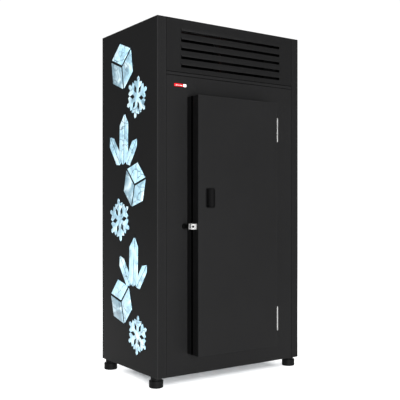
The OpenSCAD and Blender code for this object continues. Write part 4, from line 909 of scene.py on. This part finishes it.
class FREEZER_OT_studio(bpy.types.Operator):
    """Set up the pale floor, which glows round a painted shadow under the cabinet, the soft lights
    and the camera
    """

    bl_idname = "freezer.studio"
    bl_label = "Studio"

    def execute(self, context):
        scene = context.scene
        s = scene.freezer_studio
        scene.view_settings.view_transform = "Standard"
        bm = bmesh.new()
        bmesh.ops.create_grid(bm, x_segments=1, y_segments=1, size=FLOOR_SIZE)
        mesh = bpy.data.meshes.new("studio_floor")
        bm.to_mesh(mesh)
        bm.free()
        floor = bpy.data.objects.new("studio_floor", mesh)
        scene.collection.objects.link(floor)
        made, tree, shader = new_material(
            "Studio Floor", {"Roughness": 0.8, "Specular IOR Level": 0.2,
                             "Emission Color": (1, 1, 1, 1)})
        place = add(tree, "ShaderNodeTexCoord", (-900, 100))
        cloud = add(tree, "ShaderNodeTexNoise", (-700, 100), {"Scale": 0.4, "Detail": 2.0})
        shades = blend_colours(tree, cloud.outputs["Fac"], tint(s.floor, 0.995), s.floor,
                               (-350, 100))
        tree.links.new(place.outputs["Object"], cloud.inputs["Vector"])
        tree.links.new(shades.outputs["Result"], shader.inputs["Base Color"])
        # The floor glows, though it is no lamp, and its glow fades out under the cabinet: a
        # painted shadow, placed by the insets and the reach
        aside = add(tree, "ShaderNodeVectorMath", (-1000, -200), operation="ABSOLUTE")
        past = add(tree, "ShaderNodeVectorMath", (-850, -200), operation="SUBTRACT")
        reach = s.shadow_reach
        past.inputs[1].default_value = (CAD_BOX[1][0] - reach - s.side_inset,
                                        CAD_BOX[1][1] - reach - s.front_inset, 0)
        beyond = add(tree, "ShaderNodeVectorMath", (-700, -200), operation="MAXIMUM")
        beyond.inputs[1].default_value = (0, 0, 0)
        away = add(tree, "ShaderNodeVectorMath", (-550, -200), operation="LENGTH")
        tree.links.new(place.outputs["Object"], aside.inputs[0])
        for node, following in ((aside, past), (past, beyond), (beyond, away)):
            tree.links.new(node.outputs["Vector"], following.inputs[0])
        fade = vary(tree, shader, "Emission Strength", away.outputs["Value"], s.glow,
                    s.far_glow, (-350, -200))
        fade.inputs["From Max"].default_value = reach
        mesh.materials.append(made)
        self.room(scene, s)
        self.lamp("front", s.front, (-1.6, -4.7, 0.95), (0, 0, 0.95), 1.6)
        self.lamp("overhead", s.overhead, (0, -0.6, 5), (0, -0.6, 0), 4)
        self.camera(scene)
        return {"FINISHED"}

    def room(self, scene, s):
        """White behind the object, and an even softer white all round it"""
        world = bpy.data.worlds.new("Studio Room")
        scene.world = world
        world.use_nodes = True
        tree = world.node_tree
        path = add(tree, "ShaderNodeLightPath", (-600, 200))
        level = add(tree, "ShaderNodeMix", (-300, 200), {"A": s.ambient, "B": BACKDROP},
                    data_type="FLOAT")
        shade = tree.nodes["Background"]
        shade.inputs["Color"].default_value = (1, 1, 1, 1)
        tree.links.new(path.outputs["Is Camera Ray"], level.inputs["Factor"])
        tree.links.new(level.outputs["Result"], shade.inputs["Strength"])

    def lamp(self, name, strength, at, aim, size):
        """A square soft light at a point, turned to another point"""
        light = bpy.data.lights.new(name, "AREA")
        light.energy = strength
        light.size = size
        lamp = bpy.data.objects.new(name, light)
        bpy.context.scene.collection.objects.link(lamp)
        lamp.location = at
        lamp.rotation_euler = (Vector(aim) - Vector(at)).to_track_quat("-Z", "Y").to_euler()

    def camera(self, scene):
        """Level camera to the left of the front, at the height of the door's cup"""
        data = bpy.data.cameras.new("photo_camera")
        data.sensor_width = 36
        data.lens = CAMERA_LENS
        data.shift_y = CAMERA_RISE
        camera = bpy.data.objects.new("photo_camera", data)
        camera.location = CAMERA_AT
        camera.rotation_euler = (math.radians(90), 0, math.radians(CAMERA_HEADING))
        scene.collection.objects.link(camera)
        scene.camera = camera


class FREEZER_PT_parts(bpy.types.Panel):
    """Lists the settings and the steps of the freezer"""

    bl_label = "Ice Freezer"
    bl_space_type = "VIEW_3D"
    bl_region_type = "UI"
    bl_category = "Freezer"

    def draw(self, context):
        for settings in (context.scene.freezer_colours, context.scene.freezer_sizes,
                         context.scene.freezer_studio):
            box = self.layout.box()
            for name in settings.__annotations__:
                box.prop(settings, name)
        for step in STEPS:
            self.layout.operator(step.bl_idname)


SETTINGS = {"freezer_colours": FreezerColours, "freezer_sizes": FreezerSizes,
            "freezer_studio": FreezerStudio}
STEPS = (FREEZER_OT_finishes, FREEZER_OT_soft_edges, FREEZER_OT_ice_figures, FREEZER_OT_badge,
         FREEZER_OT_door_groove_shade, FREEZER_OT_lock_hole_shade, FREEZER_OT_seam_shade_strips,
         FREEZER_OT_studio)
CLASSES = (*SETTINGS.values(), *STEPS, FREEZER_PT_parts)


def register():
    for one in CLASSES:
        bpy.utils.register_class(one)
    for name, kind in SETTINGS.items():
        setattr(bpy.types.Scene, name, PointerProperty(type=kind))


def unregister():
    for name in SETTINGS:
        delattr(bpy.types.Scene, name)
    for one in reversed(CLASSES):
        bpy.utils.unregister_class(one)


def main():
    register()
    for step in STEPS:
        group, name = step.bl_idname.split(".")
        getattr(getattr(bpy.ops, group), name)()


if __name__ == "__main__":
    main()
